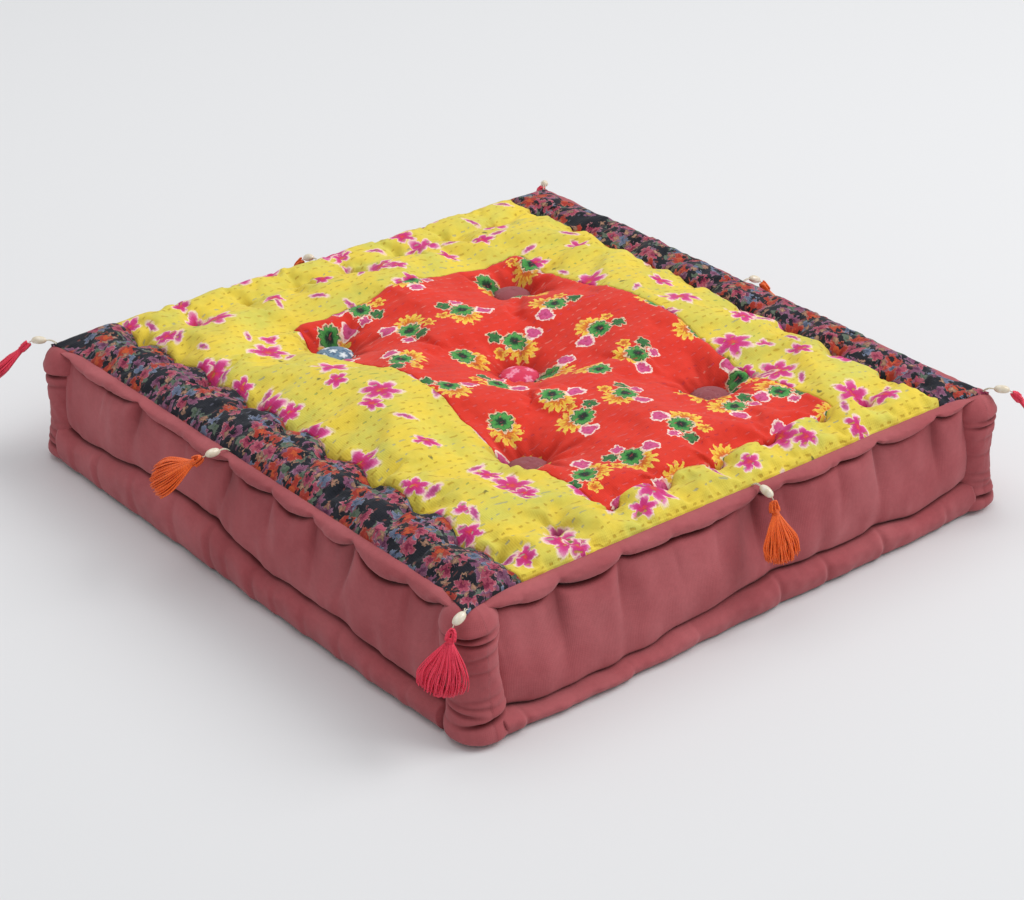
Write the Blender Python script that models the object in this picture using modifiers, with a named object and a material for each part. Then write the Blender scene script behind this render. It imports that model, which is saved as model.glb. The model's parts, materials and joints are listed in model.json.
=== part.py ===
"""Tufted patchwork floor cushion: a boxed cotton cushion with stuffed edge rolls, five buttoned
tufts and a shell-and-tassel trim along its top seam.

Metres, +Z up. The origin is on the floor under the middle of the cushion, X runs along its longer
sides. Run it with: blender --background --python part.py
"""

import math

import bmesh
import bpy
from mathutils import Matrix, Vector

# ---- driving dimensions, in metres ---------------------------------------------------------------
LENGTH = 0.600            # along X, over the top rolls
WIDTH = 0.580             # along Y, over the top rolls
SEAM_HEIGHT = 0.1085      # floor to the top of the edge rolls
CROWN = 0.018             # how far the stuffed pads rise above the edge rolls
CROWN_RUN = 0.060         # distance from the edge over which they rise
TOP_ROLL = 0.026          # diameter of the stuffed roll along each top edge
BOTTOM_ROLL = 0.028       # diameter of the roll along each bottom edge
BASE_SPREAD = 0.008       # how far the bottom and corner rolls stand out past the top rolls
CORNER_ROLL = 0.046       # diameter of the gathered upright roll at each corner
CLOTH = 0.0015            # thickness of one quilted cotton layer
PANEL_RECESS = 0.008      # side panel behind the outer face of the top roll
GAP = 0.0003              # clearance kept between pieces that touch

BORDER_FRONT = 0.052      # width of the dark strip along -Y
BORDER_BACK = 0.047       # width of the dark strip along +Y
PATCH_X = (-0.170, 0.248)     # red centre patch, its ends along X
PATCH_Y = (-0.112, 0.145)     # and along Y

TUFT_CENTRE = (0.004, 0.006)  # middle tuft
TUFT_STEP_X = 0.135           # the other four tufts, out from the middle one
TUFT_STEP_Y = 0.102
TUFT_SEAT = 0.098             # height of the top cloth under the top buttons
UNDER_SEAT = 0.012            # height of the bottom cloth over the bottom buttons
TUFT_RUN = 0.105              # radius of the hollow that a tuft pulls into the top
BUTTON = 0.038                # diameter of a covered button
BUTTON_RISE = 0.010           # thickness of a top button
UNDER_BUTTON_RISE = 0.008     # thickness of a bottom button
TWINE = 0.002                 # diameter of the tuft twine
SEAT_MARGIN = 0.0015          # flat cloth around a button
CELL = 0.034                  # coarsest spacing of the cloth mesh

BEAD_LENGTH = 0.014           # shell bead
BEAD_WIDTH = 0.009
BEAD_ANGLE = 40.0             # where the bead lies on the roll, degrees above its outer side
THREAD = 0.0012               # diameter of the sewing thread that holds a bead
THREAD_PLAY = 0.0006          # bare thread between the bead and the tassel
TASSEL_HEAD = 0.009           # diameter of the tassel's bound head
TASSEL_DROP = 0.052           # head to thread ends
TASSEL_FAN = 0.034            # width over the thread ends
TASSEL_THICK = 0.009          # thickness over the thread ends
FRONT_TASSEL_X = -0.027       # the trim in the middle of -Y, along X
RIGHT_TASSEL_Y = 0.014        # the trim in the middle of +X, along Y

ROLL_SIDES = 16               # facets round a roll
ROUND_SIDES = 16              # facets round a button

# ---- sizes that follow ----------------------------------------------------------------------------
half_x, half_y = LENGTH / 2, WIDTH / 2
sheet_x, sheet_y = half_x - TOP_ROLL / 2, half_y - TOP_ROLL / 2
roll_floor = CLOTH + GAP
top_roll_z = SEAM_HEIGHT - TOP_ROLL / 2
bottom_roll_z = roll_floor + BOTTOM_ROLL / 2
corner_x = half_x + BASE_SPREAD - CORNER_ROLL / 2
corner_y = half_y + BASE_SPREAD - CORNER_ROLL / 2
roll_end_x, roll_end_y = corner_x - CORNER_ROLL / 2 - GAP, corner_y - CORNER_ROLL / 2 - GAP
belt_low = roll_floor + BOTTOM_ROLL + GAP
belt_high = SEAM_HEIGHT - TOP_ROLL - GAP
# A side panel ends on the round underside of the top roll, this far out from the roll's middle.
panel_offset = max(TOP_ROLL / 2 - PANEL_RECESS - CLOTH, 0.0)
panel_high = top_roll_z - math.sqrt((TOP_ROLL / 2) ** 2 - panel_offset ** 2) - GAP
sheet_low = SEAM_HEIGHT + GAP
layer = CLOTH + GAP
seat = BUTTON / 2 + SEAT_MARGIN
tunnel = TWINE / 2 + GAP
border_front_y = BORDER_FRONT - sheet_y
border_back_y = sheet_y - BORDER_BACK
tufts = [(TUFT_CENTRE[0] + i * TUFT_STEP_X, TUFT_CENTRE[1] + j * TUFT_STEP_Y)
         for i, j in ((0, 0), (-1, -1), (-1, 1), (1, 1), (1, -1))]
tuft_names = ("middle", "front_left", "back_left", "back_right", "front_right")

for old in list(bpy.data.objects):
    bpy.data.objects.remove(old, do_unlink=True)

parts = bpy.data.collections.new("floor_cushion")
cutters = bpy.data.collections.new("cutters")
bpy.context.scene.collection.children.link(parts)
bpy.context.scene.collection.children.link(cutters)


# ---- materials -------------------------------------------------------------------------------------
def cotton(name, colour, roughness=0.9):
    """A matt cotton or other plain finish, from a linear RGB colour."""
    material = bpy.data.materials.new(name)
    material.use_nodes = True
    shader = material.node_tree.nodes["Principled BSDF"]
    shader.inputs["Base Color"].default_value = (*colour, 1.0)
    shader.inputs["Roughness"].default_value = roughness
    shader.inputs["Metallic"].default_value = 0.0
    return material


rose = cotton("rose_cotton", (0.36, 0.090, 0.105))
yellow = cotton("yellow_printed_cotton", (0.78, 0.62, 0.045))
red = cotton("red_printed_cotton", (0.70, 0.040, 0.025))
navy = cotton("dark_floral_cotton", (0.075, 0.045, 0.075))
mauve = cotton("mauve_button_cotton", (0.26, 0.065, 0.070))
blue_grey = cotton("blue_grey_button_cotton", (0.30, 0.33, 0.42))
pink_print = cotton("pink_button_cotton", (0.55, 0.10, 0.16))
raw_cotton = cotton("cotton_filling", (0.74, 0.70, 0.60), 1.0)
twine_yarn = cotton("tuft_twine", (0.62, 0.55, 0.42), 0.85)
shell = cotton("shell_bead", (0.80, 0.76, 0.68), 0.35)
crimson = cotton("crimson_thread", (0.62, 0.025, 0.055))
orange = cotton("orange_thread", (0.68, 0.085, 0.008))


# ---- making objects --------------------------------------------------------------------------------
def add(name, form, material, place=Matrix.Identity(4), home=parts):
    """Put a bmesh into the scene as one object, at a place and with a material."""
    bmesh.ops.recalc_face_normals(form, faces=form.faces)
    mesh = bpy.data.meshes.new(name)
    form.to_mesh(mesh)
    form.free()
    if material:
        mesh.materials.append(material)
    made = bpy.data.objects.new(name, mesh)
    home.objects.link(made)
    made.matrix_world = place
    return made


def smooth(made, degrees=35.0):
    made.data.shade_smooth()
    made.data.set_sharp_from_angle(angle=math.radians(degrees))


def lines(low, high, breaks):
    """Mesh lines from low to high: one at each break between them, the rest at most CELL apart."""
    stops = sorted({low, high} | {b for b in breaks if low < b < high})
    found = [low]
    for start, end in zip(stops, stops[1:]):
        steps = math.ceil((end - start) / CELL - 1e-6)
        found += [start + (end - start) * k / steps for k in range(1, steps + 1)]
    return found


def pull(x, y):
    """How much a tuft holds the cloth at a point: 1 over the button's seat, 0 past the hollow."""
    flat = seat * math.sqrt(2)
    near = min(math.hypot(x - tx, y - ty) for tx, ty in tufts)
    share = (near - flat) / (TUFT_RUN - flat)
    return 0.5 + 0.5 * math.cos(math.pi * min(max(share, 0.0), 1.0))


def top_height(x, y):
    """Underside of the quilted top."""
    rise = CROWN
    for inset in (sheet_x - abs(x), sheet_y - abs(y)):
        rise *= math.sin(math.pi / 2 * min(max(inset / CROWN_RUN, 0.0), 1.0))
    held = pull(x, y)
    return (sheet_low + rise) * (1 - held) + TUFT_SEAT * held


def bottom_height(x, y):
    """Underside of the bottom panel."""
    return UNDER_SEAT * pull(x, y)


def cloth_slab(xs, ys, low, high):
    """A layer over the lattice xs by ys, from the height low(x, y) to the height high(x, y)."""
    form = bmesh.new()
    columns, rows = len(xs) - 1, len(ys) - 1
    bmesh.ops.create_grid(form, x_segments=columns, y_segments=rows, size=0.5)
    bmesh.ops.triangulate(form, faces=form.faces, quad_method="FIXED")
    for point in form.verts:
        point.co.x = xs[round((point.co.x + 0.5) * columns)]
        point.co.y = ys[round((point.co.y + 0.5) * rows)]
    under = list(form.verts)
    extruded = bmesh.ops.extrude_face_region(form, geom=form.faces[:], use_keep_orig=True)
    over = [item for item in extruded["geom"] if isinstance(item, bmesh.types.BMVert)]
    for point in under:
        point.co.z = low(point.co.x, point.co.y)
    for point in over:
        point.co.z = high(point.co.x, point.co.y)
    return form


def cylinder(radius, depth, sides, place=Matrix.Identity(4)):
    form = bmesh.new()
    bmesh.ops.create_cone(form, cap_ends=True, segments=sides, radius1=radius, radius2=radius,
                          depth=depth, matrix=place)
    return form


def boolean(made, other, operation):
    step = made.modifiers.new(operation.lower(), "BOOLEAN")
    step.operation = operation
    step.solver = "EXACT"
    step.object = other


def cutter(name, form, place=Matrix.Identity(4)):
    made = add(name, form, None, place, cutters)
    made.hide_render = True
    made.display_type = "WIRE"
    return made


# ---- the lattice that every cloth layer shares ---------------------------------------------------------
x_breaks = [*PATCH_X] + [tx + side * seat for tx, _ in tufts for side in (-1, 1)]
y_breaks = [*PATCH_Y, border_front_y, border_back_y]
y_breaks += [ty + side * seat for _, ty in tufts for side in (-1, 1)]
core_x, core_y = half_x - TOP_ROLL - GAP, half_y - TOP_ROLL - GAP
x_breaks += [-core_x, core_x]
y_breaks += [-core_y, core_y]
all_x = lines(-sheet_x, sheet_x, x_breaks)
all_y = lines(-sheet_y, sheet_y, y_breaks)


def between(values, low, high):
    return [v for v in values if low - 1e-6 <= v <= high + 1e-6]


# ---- twine tunnels through every layer ------------------------------------------------------------------
tunnels = bmesh.new()
for tx, ty in tufts:
    bmesh.ops.create_cone(tunnels, cap_ends=True, segments=8, radius1=tunnel, radius2=tunnel,
                          depth=2 * SEAM_HEIGHT, matrix=Matrix.Translation((tx, ty, SEAM_HEIGHT)))
twine_tunnels = cutter("twine_tunnels", tunnels)

# ---- cotton filling: a core under the cloth, a belt out to the side panels, seats for the corner rolls --
filling = add("cotton_filling", cloth_slab(
    between(all_x, -core_x, core_x), between(all_y, -core_y, core_y),
    lambda x, y: bottom_height(x, y) + layer, lambda x, y: top_height(x, y) - GAP), raw_cotton)
belt_x = half_x - PANEL_RECESS - CLOTH - GAP
belt_y = half_y - PANEL_RECESS - CLOTH - GAP
belt = bmesh.new()
bmesh.ops.create_cube(belt, size=1.0, matrix=Matrix.LocRotScale(
    Vector((0, 0, (belt_low + belt_high) / 2)), None,
    Vector((2 * belt_x, 2 * belt_y, belt_high - belt_low))))
boolean(filling, cutter("filling_belt", belt), "UNION")
for side_x in (-1, 1):
    for side_y in (-1, 1):
        seat_form = cylinder(CORNER_ROLL / 2 + GAP, 3 * SEAM_HEIGHT, ROLL_SIDES)
        boolean(filling, cutter(f"corner_seat_{side_x}_{side_y}", seat_form, Matrix.Translation(
            (side_x * corner_x, side_y * corner_y, SEAM_HEIGHT / 2))), "DIFFERENCE")
boolean(filling, twine_tunnels, "DIFFERENCE")

# ---- quilted top: yellow field, dark border strips, red patch over the field ---------------------------
strips = (("front_border", -sheet_y, border_front_y, navy, 0.0, GAP),
          ("yellow_field", border_front_y, border_back_y, yellow, 0.0, 0.0),
          ("back_border", border_back_y, sheet_y, navy, GAP, 0.0))
for name, low_y, high_y, material, low_gap, high_gap in strips:
    ys = between(all_y, low_y, high_y)
    ys[0] += low_gap
    ys[-1] -= high_gap
    strip = add(name, cloth_slab(all_x, ys, top_height,
                                 lambda x, y: top_height(x, y) + CLOTH), material)
    if name == "yellow_field":
        boolean(strip, twine_tunnels, "DIFFERENCE")
patch = add("red_centre_patch", cloth_slab(
    between(all_x, *PATCH_X), between(all_y, *PATCH_Y),
    lambda x, y: top_height(x, y) + layer, lambda x, y: top_height(x, y) + layer + CLOTH), red)
boolean(patch, twine_tunnels, "DIFFERENCE")

# ---- bottom panel ---------------------------------------------------------------------------------------
bottom = add("bottom_panel", cloth_slab(all_x, all_y, bottom_height,
                                        lambda x, y: bottom_height(x, y) + CLOTH), rose)
boolean(bottom, twine_tunnels, "DIFFERENCE")


# ---- edge rolls, corner rolls and side panels -----------------------------------------------------------
def roll(name, diameter, length, place, rounding, steps=2):
    made = add(name, cylinder(diameter / 2, length, ROLL_SIDES), rose, place)
    edge = made.modifiers.new("rounded_ends", "BEVEL")
    edge.width = rounding
    edge.segments = steps
    edge.limit_method = "ANGLE"
    edge.angle_limit = math.radians(60)
    smooth(made)
    return made


along_x = Matrix.Rotation(math.pi / 2, 4, "Y")
along_y = Matrix.Rotation(math.pi / 2, 4, "X")
sides = {"front": (0, -1), "right": (1, 0), "back": (0, 1), "left": (-1, 0)}
for side, (out_x, out_y) in sides.items():
    turn = along_y if out_x else along_x
    run = 2 * (roll_end_y if out_x else roll_end_x)
    top_out = sheet_x if out_x else sheet_y
    roll(f"top_roll_{side}", TOP_ROLL, run,
         Matrix.Translation((out_x * top_out, out_y * top_out, top_roll_z)) @ turn, 0.004)
    bottom_out = (half_x if out_x else half_y) + BASE_SPREAD - BOTTOM_ROLL / 2
    roll(f"bottom_roll_{side}", BOTTOM_ROLL, run,
         Matrix.Translation((out_x * bottom_out, out_y * bottom_out, bottom_roll_z)) @ turn, 0.004)
    panel_out = (half_x if out_x else half_y) - PANEL_RECESS - CLOTH / 2
    panel = bmesh.new()
    bmesh.ops.create_cube(panel, size=1.0, matrix=Matrix.LocRotScale(
        Vector((out_x * panel_out, out_y * panel_out, (belt_low + panel_high) / 2)), None,
        Vector((CLOTH if out_x else run, run if out_x else CLOTH, panel_high - belt_low))))
    add(f"side_panel_{side}", panel, rose)
corners = {"front_left": (-1, -1), "front_right": (1, -1), "back_right": (1, 1), "back_left": (-1, 1)}
corner_high = SEAM_HEIGHT - roll_floor
for corner, (out_x, out_y) in corners.items():
    roll(f"corner_roll_{corner}", CORNER_ROLL, corner_high, Matrix.Translation(
        (out_x * corner_x, out_y * corner_y, roll_floor + corner_high / 2)), TOP_ROLL / 2, 4)


# ---- covered buttons and the twines that hold them ----------------------------------------------------
def button(name, rise, place, material):
    """A domed button, flat side down: a profile turned round Z. The profile runs down its outer side."""
    crown = [(0.0, rise), (0.45, 0.93 * rise), (0.80, 0.68 * rise), (0.97, 0.34 * rise),
             (0.97, 0.15 * rise), (0.88, 0.0), (0.0, 0.0)]
    form = bmesh.new()
    points = [form.verts.new((share * BUTTON / 2, 0.0, height)) for share, height in crown]
    for first, second in zip(points, points[1:]):
        form.edges.new((first, second))
    made = add(name, form, material, place)
    turned = made.modifiers.new("turned", "SCREW")
    turned.steps = ROUND_SIDES
    turned.render_steps = ROUND_SIDES
    turned.use_merge_vertices = True
    turned.merge_threshold = 0.0001
    turned.use_smooth_shade = True
    return made


top_seat = TUFT_SEAT + 2 * layer
flip = Matrix.Rotation(math.pi, 4, "X")
cover = {"front_left": blue_grey, "middle": pink_print}
for tuft, (tx, ty) in zip(tuft_names, tufts):
    button(f"top_button_{tuft}", BUTTON_RISE, Matrix.Translation((tx, ty, top_seat)),
           cover.get(tuft, mauve))
    button(f"bottom_button_{tuft}", UNDER_BUTTON_RISE,
           Matrix.Translation((tx, ty, UNDER_SEAT - GAP)) @ flip, rose)
    twine_low, twine_high = UNDER_SEAT, top_seat - GAP
    add(f"tuft_twine_{tuft}", cylinder(TWINE / 2, twine_high - twine_low, 8), twine_yarn,
        Matrix.Translation((tx, ty, (twine_low + twine_high) / 2)))


# ---- shell beads and tassels ----------------------------------------------------------------------------
def tassel_form():
    """Neck, bound head, tie and fanned skirt, hanging along -Z from the origin; it is flat along X."""
    # share of the drop, share of the head's width and share of the way to the full fan
    stations = [(0.00, 0.13, 0.0), (0.05, 0.13, 0.0), (0.08, 0.62, 0.0), (0.13, 1.00, 0.0),
                (0.19, 0.80, 0.0), (0.24, 0.66, 0.0), (0.29, 0.80, 0.02), (0.62, 1.0, 0.48),
                (1.00, 1.0, 1.0)]
    form = bmesh.new()
    rings = []
    for drop, head, fan in stations:
        across = head * TASSEL_HEAD * (1 - fan) + TASSEL_FAN * fan
        thick = head * TASSEL_HEAD * (1 - fan) + TASSEL_THICK * fan
        ring = []
        for k in range(12):
            angle = 2 * math.pi * k / 12
            ring.append(form.verts.new((thick / 2 * math.cos(angle), across / 2 * math.sin(angle),
                                        -GAP - drop * TASSEL_DROP)))
        rings.append(ring)
    for upper, lower in zip(rings, rings[1:]):
        for k in range(12):
            form.faces.new((upper[k], upper[k - 1], lower[k - 1], lower[k]))
    form.faces.new(rings[0])
    form.faces.new(reversed(rings[-1]))
    return form


def bead_form(seam):
    """Shell bead along -Z with its outer end at the origin, and the sewing thread on to the seam."""
    form = bmesh.new()
    bmesh.ops.create_uvsphere(form, u_segments=12, v_segments=8, radius=0.5)
    bmesh.ops.scale(form, verts=form.verts, vec=(BEAD_WIDTH, BEAD_WIDTH, BEAD_LENGTH))
    bmesh.ops.translate(form, verts=form.verts, vec=(0, 0, -BEAD_LENGTH / 2))
    root = Vector((0, 0, -THREAD))
    run = seam - root
    turn = run.to_track_quat("Z", "Y").to_matrix().to_4x4()
    thread = cylinder(THREAD / 2, run.length, 8, Matrix.Translation(root + run / 2) @ turn)
    return form, thread


def hang_trim(name, over, outward, lift, sway, lean, yarn):
    """A bead and its tassel on a roll whose centre line passes through the point over.

    lift turns both outward and up from the way they lie against the roll, sway swings the tassel
    sideways and lean tips the bead sideways, both positive towards the left as seen from outside.
    All are in degrees.
    """
    outward = Vector(outward).normalized()
    up = Vector((0, 0, 1))
    tangent = up.cross(outward)
    upright = Matrix((outward, tangent, up)).transposed().to_4x4()   # X outward, Y along the edge
    lie = math.radians(BEAD_ANGLE)
    reach = TOP_ROLL / 2 + GAP + BEAD_WIDTH / 2
    middle = reach * (math.cos(lie) * outward + math.sin(lie) * up)
    down_roll = math.sin(lie) * outward - math.cos(lie) * up
    sewn = Vector(over) + middle - down_roll * BEAD_LENGTH / 2
    off_roll = sewn - Vector(over)
    seam = Vector(over) + off_roll.normalized() * (TOP_ROLL / 2 + GAP)
    raised = Matrix.Rotation(-math.radians(lift), 4, "Y")
    bead_turn = Matrix.Rotation(-lie, 4, "Y") @ Matrix.Rotation(math.radians(lean), 4, "X")
    place = Matrix.Translation(sewn) @ upright @ raised @ bead_turn
    ball, thread = bead_form(place.inverted() @ seam)
    bead = add(f"shell_bead_{name}", ball, shell, place)
    boolean(bead, cutter(f"sewing_thread_{name}", thread, place), "UNION")
    smooth(bead, 80.0)
    tail = place @ Vector((0, 0, -BEAD_LENGTH - THREAD_PLAY))
    swung = Matrix.Rotation(math.radians(sway), 4, "X")
    tassel = add(f"tassel_{name}", tassel_form(), yarn,
                 Matrix.Translation(tail) @ upright @ raised @ swung)
    tassel.parent = bead
    tassel.matrix_parent_inverse = place.inverted()
    smooth(tassel, 50.0)


rim = CORNER_ROLL / 2 - TOP_ROLL / 2    # a corner roll's rounded top edge, from its axis
for corner, lift, sway, lean in (("front_left", 47, 0, 0), ("front_right", 28, -18, -32),
                                 ("back_right", 47, 0, 0), ("back_left", 25, 8, 10)):
    out = Vector((*corners[corner], 0)).normalized()
    centre = Vector((corners[corner][0] * corner_x, corners[corner][1] * corner_y, top_roll_z))
    hang_trim(corner, centre + out * rim, out, lift, sway, lean, crimson)
for side, along, lift, sway, lean in (("front", FRONT_TASSEL_X, 50, -45, 0),
                                      ("right", RIGHT_TASSEL_Y, 25, 3, 8),
                                      ("back", 0.0, 28, -8, -6), ("left", 0.0, 32, 10, 5)):
    out = Vector((*sides[side], 0))
    place = Vector((out.x * sheet_x + abs(out.y) * along, out.y * sheet_y + abs(out.x) * along,
                    top_roll_z))
    hang_trim(side, place, out, lift, sway, lean, orange)
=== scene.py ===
import json
import math

import bpy
import numpy as np
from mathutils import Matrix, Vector


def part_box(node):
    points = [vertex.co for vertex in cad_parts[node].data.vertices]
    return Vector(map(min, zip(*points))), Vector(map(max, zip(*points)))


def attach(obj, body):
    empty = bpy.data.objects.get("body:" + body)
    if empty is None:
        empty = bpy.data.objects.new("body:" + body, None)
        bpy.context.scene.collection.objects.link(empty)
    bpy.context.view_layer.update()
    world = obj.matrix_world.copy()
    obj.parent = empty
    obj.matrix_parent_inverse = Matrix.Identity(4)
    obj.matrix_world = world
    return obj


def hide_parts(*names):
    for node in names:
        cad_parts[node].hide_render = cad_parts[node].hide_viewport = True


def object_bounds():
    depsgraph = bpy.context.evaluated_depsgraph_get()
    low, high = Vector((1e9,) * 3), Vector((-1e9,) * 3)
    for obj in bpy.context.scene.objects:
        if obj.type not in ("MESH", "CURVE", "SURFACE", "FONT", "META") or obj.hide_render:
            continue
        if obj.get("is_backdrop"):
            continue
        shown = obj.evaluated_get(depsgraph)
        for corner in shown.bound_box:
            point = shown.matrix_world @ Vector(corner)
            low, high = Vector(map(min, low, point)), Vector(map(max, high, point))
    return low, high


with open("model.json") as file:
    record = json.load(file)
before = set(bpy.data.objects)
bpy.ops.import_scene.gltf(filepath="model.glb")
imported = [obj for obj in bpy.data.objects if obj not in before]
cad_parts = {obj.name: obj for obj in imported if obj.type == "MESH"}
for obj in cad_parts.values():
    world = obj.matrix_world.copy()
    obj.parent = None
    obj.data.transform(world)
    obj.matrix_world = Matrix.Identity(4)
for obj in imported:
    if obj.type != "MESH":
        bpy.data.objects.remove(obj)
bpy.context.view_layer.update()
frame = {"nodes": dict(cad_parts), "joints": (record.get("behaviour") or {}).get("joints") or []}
show = bpy.context.scene

# ---------------------------------------------------------------------------
# View: a front corner of the cushion from a standing person's height, with a
# long lens, so the two near sides and the whole quilted top are seen.
# ---------------------------------------------------------------------------
view_azimuth = math.radians(50.65)
view_elevation = math.radians(27.95)
lens = bpy.data.cameras.new("long_lens")
lens.lens = 93.49
lens.sensor_width = 36
camera = bpy.data.objects.new("camera", lens)
show.collection.objects.link(camera)
camera.location = (1.61120, -1.32054, 1.13287)
back = Vector((math.sin(view_azimuth) * math.cos(view_elevation),
               -math.cos(view_azimuth) * math.cos(view_elevation),
               math.sin(view_elevation)))
camera.rotation_euler = (-back).to_track_quat("-Z", "Y").to_euler()
show.camera = camera
show.view_settings.view_transform = "Standard"


# ---------------------------------------------------------------------------
# Studio: a pale matt paper sweep on the floor, one large soft light high on
# the right behind the cushion, and an even pale surround that fills the rest.
# ---------------------------------------------------------------------------
def linear(colour):
    """An sRGB hex colour as the linear red, green, blue and opacity that a shader takes."""
    parts = [int(colour[i:i + 2], 16) / 255 for i in (0, 2, 4)]
    return [c / 12.92 if c <= 0.04045 else ((c + 0.055) / 1.055) ** 2.4 for c in parts] + [1.0]


def feed(material, made, inputs):
    """Gives each of these inputs of a node a value or a link."""
    for socket, value in dict(inputs).items():
        if isinstance(value, bpy.types.Node):
            value = next(out for out in value.outputs if out.enabled)
        if isinstance(value, bpy.types.NodeSocket):
            material.node_tree.links.new(value, made.inputs[socket])
        else:
            made.inputs[socket].default_value = value


def node(material, kind, inputs=(), stops=(), **settings):
    """Adds one node with its settings and inputs. A ramp's stops are (place, colour, cover)."""
    made = material.node_tree.nodes.new(kind)
    for key, value in settings.items():
        setattr(made, key, value)
    feed(material, made, inputs)
    if stops:
        ramp = made.color_ramp.elements
        while len(ramp) < len(stops):
            ramp.new(1.0)
        for stop, (place, colour, cover) in zip(ramp, stops):
            stop.position = place
            stop.color = linear(colour)[:3] + [cover]
    return made


def new_material(name, values):
    """A material of this name and its shader, with the values that are the same all over it."""
    material = bpy.data.materials.new(name)
    material.use_nodes = True
    shader = material.node_tree.nodes["Principled BSDF"]
    feed(material, shader, values)
    return material, shader


# Uncoated white paper off a wide roll: quite matt, with no grain to be seen.
SWEEP_HALF = 9
paper, _ = new_material("matt_paper_sweep", {"Base Color": linear("DDDDDE"), "Roughness": 0.9})
floor_mesh = bpy.data.meshes.new("paper_sweep")
floor_mesh.from_pydata([(x * SWEEP_HALF, y * SWEEP_HALF, 0)
                        for x, y in ((-1, -1), (1, -1), (1, 1), (-1, 1))], [], [(0, 1, 2, 3)])
floor_mesh.materials.append(paper)
floor = bpy.data.objects.new("paper_sweep", floor_mesh)
show.collection.objects.link(floor)
floor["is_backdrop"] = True

surround = bpy.data.worlds.new("pale_surround")
surround.use_nodes = True
feed(surround, surround.node_tree.nodes["Background"],
     {"Color": linear("F4F6F8"), "Strength": 0.62})
show.world = surround
for name, place, size, power in (("softbox_back_right", (1.9, 3.2, 3.7), 3.3, 158),
                                 ("softbox_overhead", (-0.8, -0.2, 2.8), 2.4, 22)):
    light = bpy.data.lights.new(name, "AREA")
    light.size = size
    light.energy = power
    lamp = bpy.data.objects.new(name, light)
    show.collection.objects.link(lamp)
    lamp.location = place
    lamp.rotation_euler = (-Vector(place)).to_track_quat("-Z", "Y").to_euler()


# ---------------------------------------------------------------------------
# Quilted top: a red print patch set into a yellow print field, with a dark
# floral strip along two edges, all worked in running stitch. It is stretched
# over the filling, pulled down at five tufts and caught down in from its edge.
# ---------------------------------------------------------------------------
edge_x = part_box("top_roll_right")[1].x
edge_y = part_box("top_roll_back")[1].y
seam_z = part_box("top_roll_front")[1].z
SEAM_SET_IN = 0.0115  # the seam lies this far in from the roll's outer face
half_x = edge_x - SEAM_SET_IN
half_y = edge_y - SEAM_SET_IN
patch_low, patch_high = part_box("red_centre_patch")
front_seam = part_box("front_border")[1].y
back_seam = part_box("back_border")[0].y
tufts = {}
for name in frame["nodes"]:
    if name.startswith("top_button_"):
        low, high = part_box(name)
        tufts[name.replace("top_button_", "")] = (low + high) / 2
TUFT_FLOOR = 0.0985  # height of the quilt under a button
TUFT_RADIUS = 0.0165
# A catch stitch every 57 mm, on a line 45 mm in from the seam, makes the puffs.
CATCH_STEP = 0.0572
CATCH_SET_IN = 0.0445
CATCH_SET_IN_RIGHT = 0.036
CATCH_FLOOR = 0.1060  # height of the quilt at a catch stitch
CATCH_RADIUS = 0.0036
# How hard the filling pushes up under the red patch, round it and under the dark
# strips, and how hard the line between two catches is held down.
FIELD_LIFT = 3.4
RING_LIFT = 6.6
STRIP_LIFT = 34.0
RING_FADE = (0.10, 0.17)  # from the seam inwards, where one lift gives way to the next
STRIP_FADE = (0.036, 0.046)
SEAM_PULL = 1400.0
FIRST_CATCH = {"front": -0.2395, "right": -0.2190, "back": -0.2330, "left": -0.2250}


def smooth_step(value, start, end):
    """0 before start, 1 past end, and an even slope between."""
    share = np.clip((value - start) / (end - start), 0, 1)
    return share * share * (3 - 2 * share)


catches = []
for k in range(9):
    for side, run, x, y in (("front", half_x, None, -half_y + CATCH_SET_IN + 0.003),
                            ("back", half_x, None, half_y - CATCH_SET_IN),
                            ("right", half_y, half_x - CATCH_SET_IN_RIGHT, None),
                            ("left", half_y, -half_x + CATCH_SET_IN, None)):
        along = FIRST_CATCH[side] + k * CATCH_STEP
        if abs(along) < run - CATCH_SET_IN + 0.012:
            catches.append((along, y) if x is None else (x, along))

# The quilt as a stretched sheet: each free point rests at the mean of its four
# neighbours, raised by the filling, and the rounds go on until it is still.
SHEET_CELL = 0.0044
flat_x = np.linspace(-half_x, half_x, int(round(2 * half_x / SHEET_CELL)) + 1)
flat_y = np.linspace(-half_y, half_y, int(round(2 * half_y / SHEET_CELL)) + 1)
grid_x, grid_y = np.meshgrid(flat_x, flat_y, indexing="ij")
step = flat_x[1] - flat_x[0]
height = np.full(grid_x.shape, seam_z + 0.0005)
held = np.zeros(grid_x.shape, bool)
held[[0, -1], :] = True
held[:, [0, -1]] = True
for centre in tufts.values():
    inside = np.hypot(grid_x - centre.x, grid_y - centre.y) < TUFT_RADIUS
    height[inside] = TUFT_FLOOR
    held |= inside
for x, y in catches:
    inside = np.hypot(grid_x - x, grid_y - y) < CATCH_RADIUS
    height[inside] = CATCH_FLOOR
    held |= inside
from_edge = np.minimum(half_x - np.abs(grid_x), half_y - np.abs(grid_y))
lift = FIELD_LIFT + (RING_LIFT - FIELD_LIFT) * (1 - smooth_step(from_edge, *RING_FADE))
lift = lift + (STRIP_LIFT - lift) * (1 - smooth_step(from_edge, *STRIP_FADE))
pull = SEAM_PULL * np.exp(-(((from_edge - CATCH_SET_IN) / 0.004) ** 2))
free = ~held
odd = (np.add.outer(np.arange(len(flat_x)), np.arange(len(flat_y))) % 2).astype(bool)
ROUNDS = 600
OVERSHOOT = 1.93
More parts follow.
